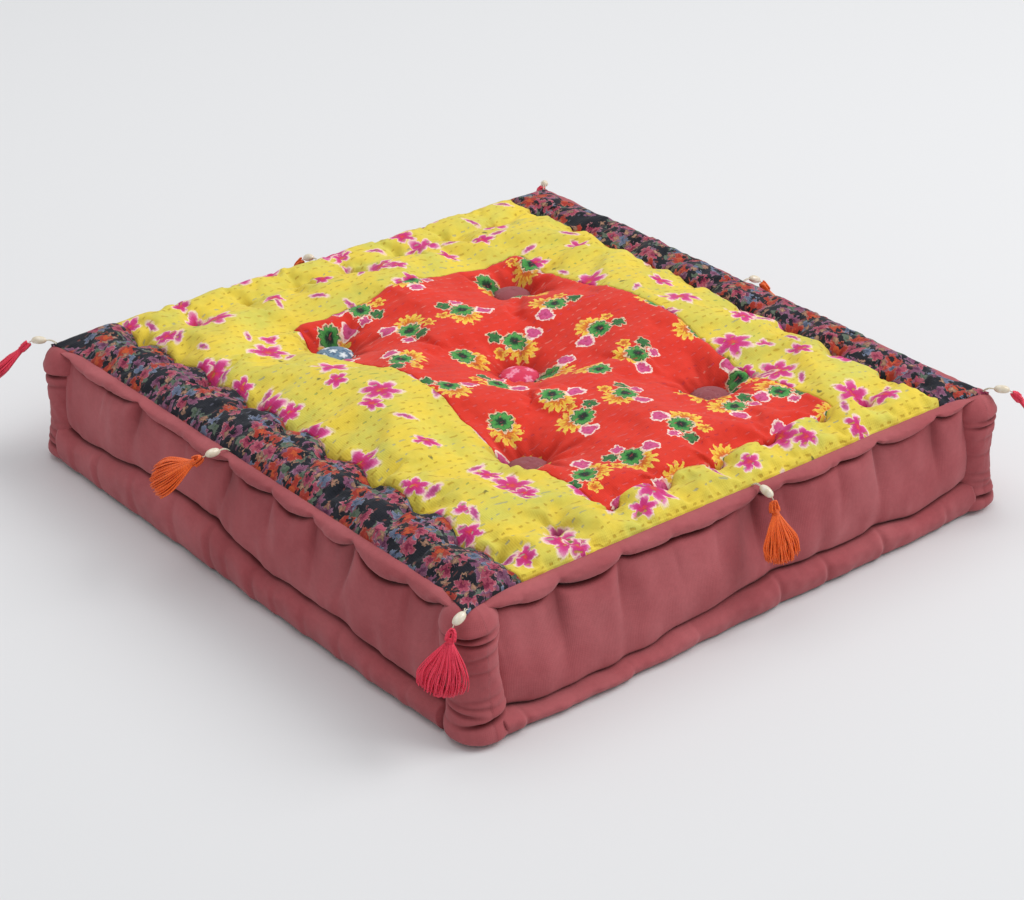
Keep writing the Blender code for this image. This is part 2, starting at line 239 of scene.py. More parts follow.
for turn in range(ROUNDS):
    for half in (odd, ~odd):
        around = np.zeros_like(height)
        around[1:-1, 1:-1] = (height[2:, 1:-1] + height[:-2, 1:-1]
                              + height[1:-1, 2:] + height[1:-1, :-2])
        rest = around + step * step * (lift + pull * (CATCH_FLOOR + 0.004))
        rest = rest / (4 + step * step * pull)
        change = free & half
        height[change] += (OVERSHOOT if turn > 3 else 1.0) * (rest[change] - height[change])


def blurred(field, reach):
    """The field averaged over about this reach, with its edge values carried on outwards."""
    count = max(1, int(round(reach / step)))
    spread = np.exp(-0.5 * (np.arange(-2 * count, 2 * count + 1) / count) ** 2)
    spread /= spread.sum()
    for axis in (0, 1):
        padding = [(0, 0), (0, 0)]
        padding[axis] = (2 * count, 2 * count)
        wide = np.pad(field, padding, mode="edge")
        field = sum(share * np.take(wide, np.arange(field.shape[axis]) + i, axis)
                    for i, share in enumerate(spread))
    return field


def grid_faces(rows, columns):
    """Four-sided faces between the points of a grid."""
    corner = (np.arange(rows - 1)[:, None] * columns + np.arange(columns - 1)).ravel()
    return np.stack([corner, corner + columns, corner + columns + 1, corner + 1], 1)


# The cloth is cut 5 % larger than the space it covers and blown up against its
# tufts and catches, so it buckles into the soft creases of a real cover.
CREASE_MOST = 0.0030
CREASE_REACH = 0.028  # wider bends than this are left to the stretched sheet
SWELL_FRAMES = 22
crease = np.zeros(height.shape + (3,))
sheet_mesh = bpy.data.meshes.new("quilt_in_tension")
before = np.stack([grid_x, grid_y, height], 2)
sheet_mesh.from_pydata(before.reshape(-1, 3).tolist(), [], grid_faces(*height.shape).tolist())
sheet = bpy.data.objects.new("quilt_in_tension", sheet_mesh)
show.collection.objects.link(sheet)
pins = sheet.vertex_groups.new(name="sewn")
pins.add(np.flatnonzero(held.ravel()).tolist(), 1.0, "REPLACE")
swell = sheet.modifiers.new("swell", "CLOTH")
swell.settings.effector_weights.gravity = 0
for key, value in (("quality", 6), ("mass", 0.3), ("air_damping", 4),
                   ("tension_stiffness", 18), ("compression_stiffness", 18),
                   ("shear_stiffness", 8), ("bending_stiffness", 0.8),
                   ("vertex_group_mass", "sewn"), ("shrink_min", -0.05),
                   ("shrink_max", -0.05), ("use_pressure", True),
                   ("uniform_pressure_force", 2.0)):
    setattr(swell.settings, key, value)
for moment in range(1, SWELL_FRAMES + 1):
    show.frame_set(moment)
settled = sheet.evaluated_get(bpy.context.evaluated_depsgraph_get()).to_mesh()
moved = np.empty(len(settled.vertices) * 3)
settled.vertices.foreach_get("co", moved)
moved = moved.reshape(before.shape) - before
bpy.data.objects.remove(sheet)
bpy.data.meshes.remove(sheet_mesh)
show.frame_set(1)
for axis in range(3):
    crease[..., axis] = moved[..., axis] - blurred(moved[..., axis], CREASE_REACH)
crease = np.clip(crease, -CREASE_MOST, CREASE_MOST)


def sample(field, x, y):
    """The grid field read smoothly between its points, at any flat-cut positions."""
    found = 0
    at_x = np.clip((x + half_x) / step, 0, field.shape[0] - 1)
    at_y = np.clip((y + half_y) / (flat_y[1] - flat_y[0]), 0, field.shape[1] - 1)
    low_x = np.floor(at_x).astype(int)
    low_y = np.floor(at_y).astype(int)

    def cubic(t):
        return ((-t + 2 * t * t - t ** 3) / 2, (2 - 5 * t * t + 3 * t ** 3) / 2,
                (t + 4 * t * t - 3 * t ** 3) / 2, (t ** 3 - t * t) / 2)

    for a, share_x in enumerate(cubic(at_x - low_x)):
        for b, share_y in enumerate(cubic(at_y - low_y)):
            near_x = np.clip(low_x + a - 1, 0, field.shape[0] - 1)
            near_y = np.clip(low_y + b - 1, 0, field.shape[1] - 1)
            found = found + share_x * share_y * field[near_x, near_y]
    return found


def lumps(x, y, size, seed):
    """Even, soft unevenness from -1 to 1 with hills about this size."""
    draw = np.random.default_rng(seed)
    total = 0
    for k in range(9):
        turn = draw.uniform(0, math.pi)
        wave = 2 * math.pi / (size * draw.uniform(0.7, 1.6))
        total = total + np.sin(wave * (x * math.cos(turn) + y * math.sin(turn))
                               + draw.uniform(0, 2 * math.pi))
    return total / 4.5


def spaced(*stops):
    """Even steps that land on each of these seams, and the number of each seam's step."""
    runs = [np.linspace(a, b, int(round((b - a) / FINE_CELL)), endpoint=False)
            for a, b in zip(stops, stops[1:])]
    return np.concatenate(runs + [[stops[-1]]]), np.cumsum([len(run) for run in runs])


FINE_CELL = 0.0022
STITCH_ROW = 0.0095
STITCH_PITCH = 0.0092
CLOTH_AND_BATTING = 0.0024
BOW = 0.0075  # how far a seam bows out between two catches
BOW_MIDDLE = 0.0055
SEAM_SWAY = 0.02  # the cloth beside a seam follows its bow over this far
SEAM_VALLEY = 0.0030
PATCH_VALLEY = 0.0011
GATHERS_EACH = 11  # sharp gathers round each tuft
GATHER_DEEP = 0.0019
fine_x, cuts_x = spaced(-half_x, patch_low.x, patch_high.x, half_x)
fine_y, cuts_y = spaced(-half_y, front_seam, patch_low.y, patch_high.y, back_seam, half_y)
rest_x, rest_y = np.meshgrid(fine_x, fine_y, indexing="ij")


def near(value, reach):
    """1 where the value is 0, falling away to nothing over about this reach."""
    return np.exp(-((value / reach) ** 2))


def scallop(along, first, deep):
    """Arcs between the catches: 0 at each catch and deep midway."""
    return deep * np.abs(np.sin(math.pi * (along - first) / CATCH_STEP)) ** 0.8


bow_front = scallop(rest_x, FIRST_CATCH["front"], BOW) - BOW_MIDDLE
bow_back = scallop(rest_x, FIRST_CATCH["back"], BOW) - BOW_MIDDLE
bow_right = scallop(rest_y, FIRST_CATCH["right"], BOW + 0.0030) - BOW_MIDDLE - 0.0030
cut_y = (rest_y + bow_front * near(rest_y - front_seam, SEAM_SWAY)
         - bow_back * near(rest_y - back_seam, SEAM_SWAY)
         + 0.0022 * np.sin(rest_x * 31 + 1.0) * near(rest_y - patch_low.y, SEAM_SWAY)
         + 0.0026 * np.sin(rest_x * 27 + 0.4) * near(rest_y - patch_high.y, SEAM_SWAY))
cut_x = (rest_x - bow_right * near(rest_x - patch_high.x, SEAM_SWAY)
         + 0.0026 * np.sin(rest_y * 33 + 2.0) * near(rest_x - patch_low.x, SEAM_SWAY))
taut = np.stack([cut_x, cut_y, sample(height, cut_x, cut_y)], 2)
surface = taut + np.stack([sample(crease[..., axis], cut_x, cut_y) for axis in range(3)], 2)

# Seam valleys, rows of quilting, rays and gathers round each tuft and catch, with painted shade in
# the seams, along the gathers and round each tuft and catch.
inland = smooth_step(np.minimum(half_x - np.abs(cut_x), half_y - np.abs(cut_y)), 0.002, 0.016)
relief = 0.0009 * lumps(cut_x, cut_y, 0.055, 3) + 0.0005 * lumps(cut_x, cut_y, 0.021, 4)
relief += (0.00042 * np.cos(2 * math.pi * cut_x / STITCH_ROW)
           * (0.6 + 0.6 * lumps(cut_x, cut_y, 0.012, 5)))
for line in (front_seam, back_seam):
    relief -= SEAM_VALLEY * near(rest_y - line, 0.0042)
on_patch_x = (rest_x > patch_low.x - 0.003) & (rest_x < patch_high.x + 0.003)
on_patch_y = (rest_y > patch_low.y - 0.003) & (rest_y < patch_high.y + 0.003)
for line in (patch_low.x, patch_high.x):
    relief -= PATCH_VALLEY * near(rest_x - line, 0.0026) * on_patch_y
for line in (patch_low.y, patch_high.y):
    relief -= PATCH_VALLEY * near(rest_y - line, 0.0026) * on_patch_x
# Painted shade: how dark each point is drawn, in the seam valleys, along the gathers and round each
# tuft and catch.
fold = 0.25 * near(rest_y - front_seam, 0.003) + 0.25 * near(rest_y - back_seam, 0.003)
for number, centre in enumerate(tufts.values()):
    out = np.hypot(cut_x - centre.x, cut_y - centre.y)
    turn = np.arctan2(cut_y - centre.y, cut_x - centre.x)
    rays = np.cos(9 * turn + number + 1.3 * np.sin(2 * turn + 2 * number))
    rays += 0.5 * np.cos(17 * turn + 3 * number)
    reach = 0.058 * (1 + 0.3 * np.sin(3 * turn + number))
    relief += (0.0013 * rays * smooth_step(out, 0.015, 0.023)
               * (1 - smooth_step(out / reach, 0.3, 1.0)))
    draw = np.random.default_rng(20 + number)
    for gather_number in range(GATHERS_EACH):
        heading = 2 * math.pi * (gather_number + draw.uniform(-0.3, 0.3)) / GATHERS_EACH
        ends = draw.uniform(0.034, 0.062)
        ahead = np.cos(turn - heading) > 0
        gather = (near(out * np.sin(turn - heading), 0.0030) * ahead
                  * smooth_step(out, 0.014, 0.020) * (1 - smooth_step(out, 0.6 * ends, ends)))
        relief -= GATHER_DEEP * gather
        fold = np.maximum(fold, 0.42 * gather)
    fold = np.maximum(fold, 0.5 * (1 - smooth_step(out, 0.012, 0.032)))
for number, (x, y) in enumerate(catches):
    out = np.hypot(cut_x - x, cut_y - y)
    turn = np.arctan2(cut_y - y, cut_x - x)
    relief += (0.0009 * np.cos(5 * turn + 1.7 * number) * smooth_step(out, 0.002, 0.010)
               * (1 - smooth_step(out, 0.012, 0.034)))
    fold = np.maximum(fold, 0.30 * (1 - smooth_step(out, 0.001, 0.008)))
surface[..., 2] += relief * inland

CORNER_REACH = 0.0078  # each corner of the quilt is drawn out to its tassel's stitch
to_corner = np.hypot(half_x - np.abs(rest_x), half_y - np.abs(rest_y))
drawn_out = CORNER_REACH * np.clip(1 - to_corner / 0.040, 0, 1) ** 1.6
surface[..., 0] += np.sign(rest_x) * drawn_out
surface[..., 1] += np.sign(rest_y) * drawn_out


def make_piece(name, points, faces, material, cut=None, fold_shade_amount=None, body="cushion"):
    """A smooth piece riding a body, with each point's flat-cut place and the strength of the
    painted shade its folds give it.
    """
    mesh = bpy.data.meshes.new(name)
    mesh.from_pydata(np.asarray(points).tolist(), [], faces)
    if cut is not None:
        corners = np.empty(len(mesh.loops), int)
        mesh.loops.foreach_get("vertex_index", corners)
        places = mesh.uv_layers.new(name="cut")
        places.data.foreach_set("uv", np.asarray(cut, float)[corners].ravel())
    if fold_shade_amount is not None:
        depth = mesh.attributes.new("fold", "FLOAT", "POINT")
        depth.data.foreach_set("value", np.asarray(fold_shade_amount).ravel().astype(np.float32))
    mesh.polygons.foreach_set("use_smooth", np.ones(len(mesh.polygons), bool))
    mesh.materials.append(material)
    made = bpy.data.objects.new(name, mesh)
    show.collection.objects.link(made)
    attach(made, body)
    return made


# Hand-loom cotton, washed soft: matt, with a slight bloom of loose fibre. The
# threads are 0.4 mm apart, too fine to show, so the weave is drawn at 1.7 mm.
# A wave texture repeats after WAVE_RUN at scale 1.
WEAVE = 0.0017
WAVE_RUN = 0.314


# The second argument is the colour of the painted shade laid into folds, grooves and gathers.
def cotton(name, fold_shade_tint, bloom=0.09, weave=WEAVE, nap=0.00011, pucker=7.0):
    material, shader = new_material(name, {"IOR": 1.5, "Sheen Weight": bloom,
                                           "Sheen Roughness": 0.5, "Specular IOR Level": 0.2})
    place = node(material, "ShaderNodeUVMap", uv_map="cut").outputs["UV"]

    def finish(colour, raised=None):
        slub = node(material, "ShaderNodeTexNoise", {"Vector": place, "Scale": 240.0,
                                                     "Detail": 3.0, "Roughness": 0.7})
        fade = node(material, "ShaderNodeTexNoise", {"Vector": place, "Scale": 17.0, "Detail": 4.0})
        tone = 0.69
        for uneven, amount in ((slub, 0.26), (fade, 0.36)):
            tone = node(material, "ShaderNodeMath", {0: uneven, 1: amount, 2: tone},
                        operation="MULTIPLY_ADD")
        toned = node(material, "ShaderNodeVectorMath", {0: colour, "Scale": tone},
                     operation="SCALE")
        # Painted shade: the colour is multiplied towards the shade tint by each point's painted
        # shade strength.
        fold_shade_amount = node(material, "ShaderNodeAttribute", attribute_name="fold")
        deep = node(material, "ShaderNodeMix", {0: fold_shade_amount.outputs["Fac"], 6: toned,
                                                7: linear(fold_shade_tint)},
                    data_type="RGBA", blend_type="MULTIPLY")
        warp, weft = [node(material, "ShaderNodeTexWave",
                           {"Vector": place, "Scale": WAVE_RUN / weave, "Distortion": 0.6,
                            "Detail Scale": 2.0}, bands_direction=way).outputs["Fac"]
                      for way in "XY"]
        threads = node(material, "ShaderNodeMath", {0: warp, 1: weft}, operation="ADD")
        drawn = node(material, "ShaderNodeTexNoise", {"Vector": place, "Scale": 95.0,
                                                      "Detail": 2.0})
        for relief, amount in ((slub, 1.6), (raised, 4.5), (drawn, pucker)):
            if relief is not None:
                threads = node(material, "ShaderNodeMath", {0: relief, 1: amount, 2: threads},
                               operation="MULTIPLY_ADD")
        bump = node(material, "ShaderNodeBump", {"Height": threads, "Distance": nap,
                                                 "Strength": 0.7})
        rough = node(material, "ShaderNodeMath", {0: slub, 1: 0.14, 2: 0.80},
                     operation="MULTIPLY_ADD")
        feed(material, shader, {"Base Color": deep, "Roughness": rough, "Normal": bump})
        return material

    return material, place, finish


def scatter(material, place, apart, seed, ragged, loose=0.5):
    """Motifs about this far apart, each turned its own way: the place within one, and its luck."""
    moved = node(material, "ShaderNodeVectorMath", {0: place, 1: (seed * 0.37, seed * 0.61, 0)},
                 operation="ADD")
    plots = node(material, "ShaderNodeTexVoronoi", {"Vector": moved, "Scale": 1 / apart,
                                                    "Randomness": loose},
                 voronoi_dimensions="2D")
    hand = node(material, "ShaderNodeTexNoise", {"Vector": place, "Scale": 330.0, "Detail": 2.0})
    hand = node(material, "ShaderNodeVectorMath", {0: hand.outputs["Color"], 1: (ragged,) * 3,
                                                   2: (-ragged / 2,) * 3},
                operation="MULTIPLY_ADD")
    moved = node(material, "ShaderNodeVectorMath", {0: moved, 1: hand}, operation="ADD")
    within = node(material, "ShaderNodeVectorMath", {0: moved, 1: plots.outputs["Position"]},
                  operation="SUBTRACT")
    luck = node(material, "ShaderNodeSeparateColor", {0: plots.outputs["Color"]})
    angle = node(material, "ShaderNodeMath", {0: luck.outputs[0], 1: 2 * math.pi},
                 operation="MULTIPLY")
    turned = node(material, "ShaderNodeVectorRotate", {"Vector": within, "Angle": angle},
                  rotation_type="Z_AXIS")
    return turned, luck


def petals(material, ground, within, luck, at, size, lobes, deep, stops, shown=1.0, squash=1.0):
    """Prints one flower on the ground. Its stops run from its centre to its edge."""
    local = node(material, "ShaderNodeVectorMath", {0: within, 1: (at[0], at[1], 0)},
                 operation="SUBTRACT")
    if squash != 1:
        local = node(material, "ShaderNodeVectorMath", {0: local, 1: (1, squash, 1)},
                     operation="MULTIPLY")
    parts = node(material, "ShaderNodeSeparateXYZ", {0: local})
    out = node(material, "ShaderNodeVectorMath", {0: local}, operation="LENGTH")
    turn = node(material, "ShaderNodeMath", {0: parts.outputs["Y"], 1: parts.outputs["X"]},
                operation="ARCTAN2")
    lobe = node(material, "ShaderNodeMath", {0: turn, 1: lobes / 2, 2: luck.outputs[2]},
                operation="MULTIPLY_ADD")
    for operation in ("COSINE", "ABSOLUTE"):
        lobe = node(material, "ShaderNodeMath", {0: lobe}, operation=operation)
    edge = node(material, "ShaderNodeMath", {0: lobe, 1: deep * size, 2: (1 - deep) * size},
                operation="MULTIPLY_ADD")
    reach = node(material, "ShaderNodeMath", {0: out.outputs["Value"], 1: edge},
                 operation="DIVIDE")
    if shown < 1:
        missing = node(material, "ShaderNodeMath", {0: luck.outputs[1], 1: shown},
                       operation="GREATER_THAN")
        reach = node(material, "ShaderNodeMath", {0: missing, 1: 9.0, 2: reach},
                     operation="MULTIPLY_ADD")
    ink = node(material, "ShaderNodeValToRGB", {0: reach}, stops)
    return node(material, "ShaderNodeMix", {0: ink.outputs["Alpha"], 6: ground,
                                            7: ink.outputs["Color"]}, data_type="RGBA")


def running_stitch(material, ground, place, threads, wide=0.0011, shown=0.72):
    """Rows of hand running stitch along the cloth: returns the colour and where the thread lies."""
    hand = node(material, "ShaderNodeTexNoise", {"Vector": place, "Scale": 60.0, "Detail": 2.0})
    parts = node(material, "ShaderNodeSeparateXYZ", {0: place})

    def off_middle(count):
        """How far a count lies from the middle of its own row or stitch, from 0 to 0.5."""
        for operation, other in (("FRACT", {}), ("SUBTRACT", {1: 0.5}), ("ABSOLUTE", {})):
            count = node(material, "ShaderNodeMath", {0: count, **other}, operation=operation)
        return count

    row = node(material, "ShaderNodeMath", {0: parts.outputs["X"], 1: 1 / STITCH_ROW, 2: hand},
               operation="MULTIPLY_ADD")
    number = node(material, "ShaderNodeMath", {0: row}, operation="FLOOR")
    start = node(material, "ShaderNodeTexWhiteNoise", {"W": number},
                 noise_dimensions="1D").outputs["Value"]
    along = node(material, "ShaderNodeMath", {0: parts.outputs["Y"], 1: 1 / STITCH_PITCH,
                                              2: start}, operation="MULTIPLY_ADD")
    along = node(material, "ShaderNodeMath", {0: hand, 1: 2.0, 2: along},
                 operation="MULTIPLY_ADD")
    thick = wide / STITCH_ROW
    narrow = node(material, "ShaderNodeMapRange", {0: off_middle(row), 1: thick * 0.35, 2: thick,
                                                   3: 1.0, 4: 0.0})
    short = node(material, "ShaderNodeMapRange", {0: off_middle(along), 1: 0.15, 2: 0.23,
                                                  3: 1.0, 4: 0.0})
    lies = node(material, "ShaderNodeMath", {0: narrow, 1: short}, operation="MULTIPLY")
    lot = node(material, "ShaderNodeTexNoise", {"Vector": place, "Scale": 9.0, "Detail": 1.0})
    choice = node(material, "ShaderNodeMath", {0: lot, 1: 1.6, 2: start},
                  operation="MULTIPLY_ADD")
    choice = node(material, "ShaderNodeMath", {0: choice, 1: 0.65}, operation="MULTIPLY")
    dye = node(material, "ShaderNodeValToRGB", {0: choice},
               [(0.18 + 0.74 * k / len(threads) if k else 0.0, colour, 1)
                for k, colour in enumerate(threads)])
    dye.color_ramp.interpolation = "CONSTANT"
    seen = node(material, "ShaderNodeMath", {0: lies, 1: shown}, operation="MULTIPLY")
    sewn = node(material, "ShaderNodeMix", {0: seen, 6: ground, 7: dye.outputs["Color"]},
                data_type="RGBA")
    dent = node(material, "ShaderNodeMath", {0: lies, 1: -1.0}, operation="MULTIPLY")
    return sewn, dent


# Yellow ground screen-printed with loose magenta flowers, 20 to 45 mm across,
# and slim mauve petals between them, each with a pale misprinted rim.
YELLOW = "E3C846"
LIME = "CFC656"
material, place, finish = cotton("yellow_flower_print_cotton", "B8862C")
mottle = node(material, "ShaderNodeTexNoise", {"Vector": place, "Scale": 26.0, "Detail": 3.0})
mottle = node(material, "ShaderNodeMapRange", {0: mottle, 1: 0.38, 2: 0.64})
colour = node(material, "ShaderNodeMix", {0: mottle, 6: linear(YELLOW), 7: linear(LIME)},
              data_type="RGBA")
MAGENTA = [(0.0, "D8583C", 1), (0.15, "D03C50", 1), (0.30, "C62C70", 1), (0.62, "CC4486", 1),
           (0.74, "DC80A8", 1), (0.86, "F0D4C4", 1), (1.0, "ECDCA0", 0.0)]
BUD = [(0.0, "C0305C", 1), (0.50, "CC4486", 1), (0.72, "E090B0", 1), (0.85, "F0D8C8", 1),
       (1.0, "ECDCA0", 0.0)]
SLIVER = [(0.0, "A83A74", 1), (0.45, "C25C92", 1), (0.72, "ECCCC0", 1), (1.0, "ECDCA0", 0.0)]
FLECK = [(0.0, "6A6430", 1), (0.7, "8C8440", 0.9), (1.0, "C8BC50", 0.0)]
for apart, seed, motifs in (
        (0.079, 3, [((0.000, 0.000), 0.0215, 6, 0.50, MAGENTA, 0.85, 1.0),
                    ((0.027, 0.006), 0.0105, 3, 0.55, BUD, 0.40, 1.0)]),
        (0.060, 11, [((0.000, 0.000), 0.0150, 5, 0.50, MAGENTA, 0.74, 1.35)]),
        (0.052, 29, [((0.000, 0.000), 0.0125, 2, 0.10, SLIVER, 0.60, 2.7)]),
        (0.083, 41, [((0.000, 0.000), 0.0030, 2, 0.30, FLECK, 0.75, 1.0)])):
    within, luck = scatter(material, place, apart, seed, ragged=0.005)
    for at, size, lobes, deep, stops, shown, squash in motifs:
        colour = petals(material, colour, within, luck, at, size, lobes, deep, stops,
                        shown, squash)
colour, dent = running_stitch(material, colour, place,
                              ["94903A", "8A9C50", "C2A034", "A2A284", "B8962C"], shown=0.75)
yellow_cotton = finish(colour, dent)

# Red ground with posies set well apart: a green rosette with a pale pricked rim,
# a marigold half behind it, and one or two rosy blooms outlined in white.
RED = "D42A1C"
POPPY = "DE4030"
material, place, finish = cotton("red_posy_print_cotton", "841E22")
mottle = node(material, "ShaderNodeTexNoise", {"Vector": place, "Scale": 30.0, "Detail": 3.0})
colour = node(material, "ShaderNodeMix", {0: mottle, 6: linear(RED), 7: linear(POPPY)},
              data_type="RGBA")
GREEN = [(0.0, "8A4A50", 1), (0.12, "2A2428", 1), (0.30, "24482E", 1), (0.42, "3F8A44", 1),
         (0.66, "58A050", 1), (0.76, "1F4A2A", 1), (0.86, "EED8B4", 1), (0.97, "E8A080", 0.0)]
MARIGOLD = [(0.0, "B84A20", 1), (0.45, "D8782A", 1), (0.62, "E8B83C", 1), (0.90, "EFCC58", 1),
            (1.0, "F4D060", 0.0)]
PINK = [(0.0, "A83064", 1), (0.30, "D0588C", 1), (0.66, "C8447A", 1), (0.80, "F0D0C8", 1),
        (0.92, "F4E2D6", 1), (1.0, "F4E2D6", 0.0)]
LEAF = [(0.0, "2C5A34", 1), (0.55, "3F7A44", 1), (0.72, "22401F", 1), (0.88, "EAD8B4", 1),
        (1.0, "E0A080", 0.0)]
POSY = [((0.003, -0.008), 0.0158, 12, 0.46, MARIGOLD, 1.0),
        ((0.019, 0.004), 0.0095, 3, 0.25, PINK, 0.9),
        ((-0.016, 0.009), 0.0085, 5, 0.30, LEAF, 0.85),
        ((-0.017, -0.008), 0.0068, 5, 0.45, MARIGOLD, 0.8),
        ((0.000, 0.001), 0.0130, 10, 0.22, GREEN, 1.0),
        ((-0.005, 0.017), 0.0070, 4, 0.35, PINK, 0.55)]
within, luck = scatter(material, place, 0.0600, 5, ragged=0.0062, loose=0.42)
for at, size, lobes, deep, stops, shown in POSY:
    colour = petals(material, colour, within, luck, at, size, lobes, deep, stops, shown)
colour, dent = running_stitch(material, colour, place,
                              ["E07478", "D0486C", "E88A7C", "B83044", "D85A5E"], wide=0.0009,
                              shown=0.50)
red_cotton = finish(colour, dent)

# Near-black ground crowded with small mauve, rose, rust and slate flowers.
INK = "20222A"
material, place, finish = cotton("dark_floral_print_cotton", "404048")
colour = node(material, "ShaderNodeRGB")
colour.outputs[0].default_value = linear(INK)
DARK = "1B1D24"


def small_flower(middle, petal, rim):
    """A flower a few millimetres across, in three inks on the dark ground."""
    return [(0.0, middle, 1), (0.30, middle, 1), (0.42, petal, 1), (0.80, petal, 1), (0.9, rim, 1),
            (1.0, DARK, 0.0)]


for apart, seed, size, lobes, stops, shown in (
        (0.0130, 2, 0.0064, 3, small_flower("4A5A48", "5E6A5C", "34403A"), 0.55),
        (0.0145, 7, 0.0074, 5, small_flower("5A2C48", "7C4A64", "A07890"), 0.66),
        (0.0175, 13, 0.0068, 5, small_flower("404C62", "626C84", "8C94A6"), 0.40),
        (0.0165, 17, 0.0078, 6, small_flower("7A2440", "A4485C", "C88A90"), 0.58),
        (0.0270, 23, 0.0098, 5, small_flower("B8502C", "A0342A", "C06450"), 0.62),
        (0.0120, 31, 0.0036, 4, small_flower("B88A70", "94705C", "5A4A40"), 0.50),
        (0.0105, 37, 0.0034, 3, small_flower("20222A", "1B1D24", "15171C"), 0.85)):
    within, luck = scatter(material, place, apart, seed, ragged=0.008, loose=0.8)
    colour = petals(material, colour, within, luck, (0, 0), size, lobes, 0.45, stops, shown)
colour, dent = running_stitch(material, colour, place,
                              ["3A3A48", "8A5A70", "2A2C34", "6A6A7A", "944A44"], shown=0.5)
dark_cotton = finish(colour, dent)

rows, columns = rest_x.shape
every = grid_faces(rows, columns)
face_row, face_column = np.divmod(np.arange(len(every)), columns - 1)
in_patch = ((face_row >= cuts_x[0]) & (face_row < cuts_x[1])
            & (face_column >= cuts_y[1]) & (face_column < cuts_y[2]))
in_front = face_column < cuts_y[0]
in_back = face_column >= cuts_y[3]
cut_place = np.stack([cut_x, cut_y], 2).reshape(-1, 2)


def cut_size(first_row, last_row, first_column, last_column):
    """The length and width a piece was cut to: its mean run each way, measured over the puffs."""
    part = taut[first_row:last_row + 1, first_column:last_column + 1]
    return tuple(round(float(np.linalg.norm(np.diff(part, axis=axis), axis=2).sum(axis).mean()), 3)
                 for axis in (0, 1))


patch_cut = cut_size(cuts_x[0], cuts_x[1], cuts_y[1], cuts_y[2])
for name, chosen, material, flat, replaced, slot in (
        ("dark_strip_front", in_front, dark_cotton, cut_size(0, rows, 0, cuts_y[0]),
         "front_border", "dark_floral"),
        ("dark_strip_back", in_back, dark_cotton, cut_size(0, rows, cuts_y[3], columns),
         "back_border", "dark_floral"),
        ("red_patch", in_patch, red_cotton, patch_cut, "red_centre_patch", "red_print"),
        ("yellow_ground", ~(in_patch | in_front | in_back), yellow_cotton,
         cut_size(0, rows, cuts_y[0], cuts_y[3]), "yellow_field", "yellow_print")):
    used, faces = np.unique(every[chosen], return_inverse=True)
    piece = make_piece(name, surface.reshape(-1, 3)[used], faces.reshape(-1, 4).tolist(),
                       material, cut_place[used], fold.ravel()[used])
    body_of_cloth = piece.modifiers.new("cloth_and_batting", "SOLIDIFY")
    body_of_cloth.thickness = CLOTH_AND_BATTING
    body_of_cloth.offset = -1
    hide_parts(replaced)


# ---------------------------------------------------------------------------
# Rolled boxing: the four walls are one strip of plum-rose brushed cotton. Hand
# stitches pinch a firm roll along its top and its bottom edge, so the wall
# bulges between them, and each stitch draws pleats and soft folds into it.
# ---------------------------------------------------------------------------
# Plain-weave cotton brushed on its face: a short nap hides the weave and dulls
# the dye, and washing has left it paler in patches.
ROSE = "9E4A4F"
ROSE_WORN = "B05E62"
material, place, finish = cotton("rose_brushed_cotton", "7C2A30", bloom=0.13, weave=0.0015,
                                 nap=0.00006, pucker=5.0)
washed = node(material, "ShaderNodeTexNoise", {"Vector": place, "Scale": 11.0, "Detail": 5.0,
                                               "Roughness": 0.6})
washed = node(material, "ShaderNodeMapRange", {0: washed, 1: 0.35, 2: 0.7})
rose_cotton = finish(node(material, "ShaderNodeMix", {0: washed, 6: linear(ROSE),
                                                      7: linear(ROSE_WORN)}, data_type="RGBA"))

# Along each wall, in mm from its middle: the height of the groove under the top
# roll, of the groove over the bottom roll, how far out the bottom roll rests,
# then the stitches under the top roll and over the bottom one as (place, strength).
NEAR_WALL = {
    "top": [(-275, 101), (-264, 104), (-246, 97), (-223, 95), (-200, 95), (-172, 99), (-156, 105),
            (-148, 104), (-136, 98), (-116, 96), (-85, 95), (-50, 94), (-30, 98), (-20, 102),
            (-10, 98), (8, 91), (29, 94), (44, 98), (54, 94), (70, 91), (88, 96), (100, 103),
            (107, 96), (118, 91), (134, 91), (146, 98), (152, 105), (158, 96), (168, 89),
            (184, 86), (200, 88), (214, 93), (222, 96), (230, 90), (246, 90), (258, 97),
            (275, 102)],
    "low": [(-275, 40), (-246, 34), (-213, 38), (-181, 41), (-153, 46), (-129, 47), (-69, 48),
            (-55, 46), (-30, 47), (-24, 44), (-10, 40), (21, 38), (32, 33), (52, 31), (80, 34),
            (103, 32), (141, 35), (169, 29), (200, 27), (240, 24), (275, 22)],
    "rest": [(-275, 11), (0, 13), (200, 13), (275, 10)],
    "pinches": [(-264, 0.5), (-209, 0.4), (-153, 1.0), (-85, 0.4), (-20, 1.0), (44, 0.6),
                (100, 0.9), (152, 1.0), (222, 0.6), (262, 0.5)],
    "pleats": [(-250, 0.5), (-210, 0.8), (-152, 0.6), (-88, 0.5), (-31, 0.9), (-8, 0.5),
               (31, 0.9), (62, 0.5), (103, 0.6), (150, 0.7), (192, 0.5), (236, 0.6)]}
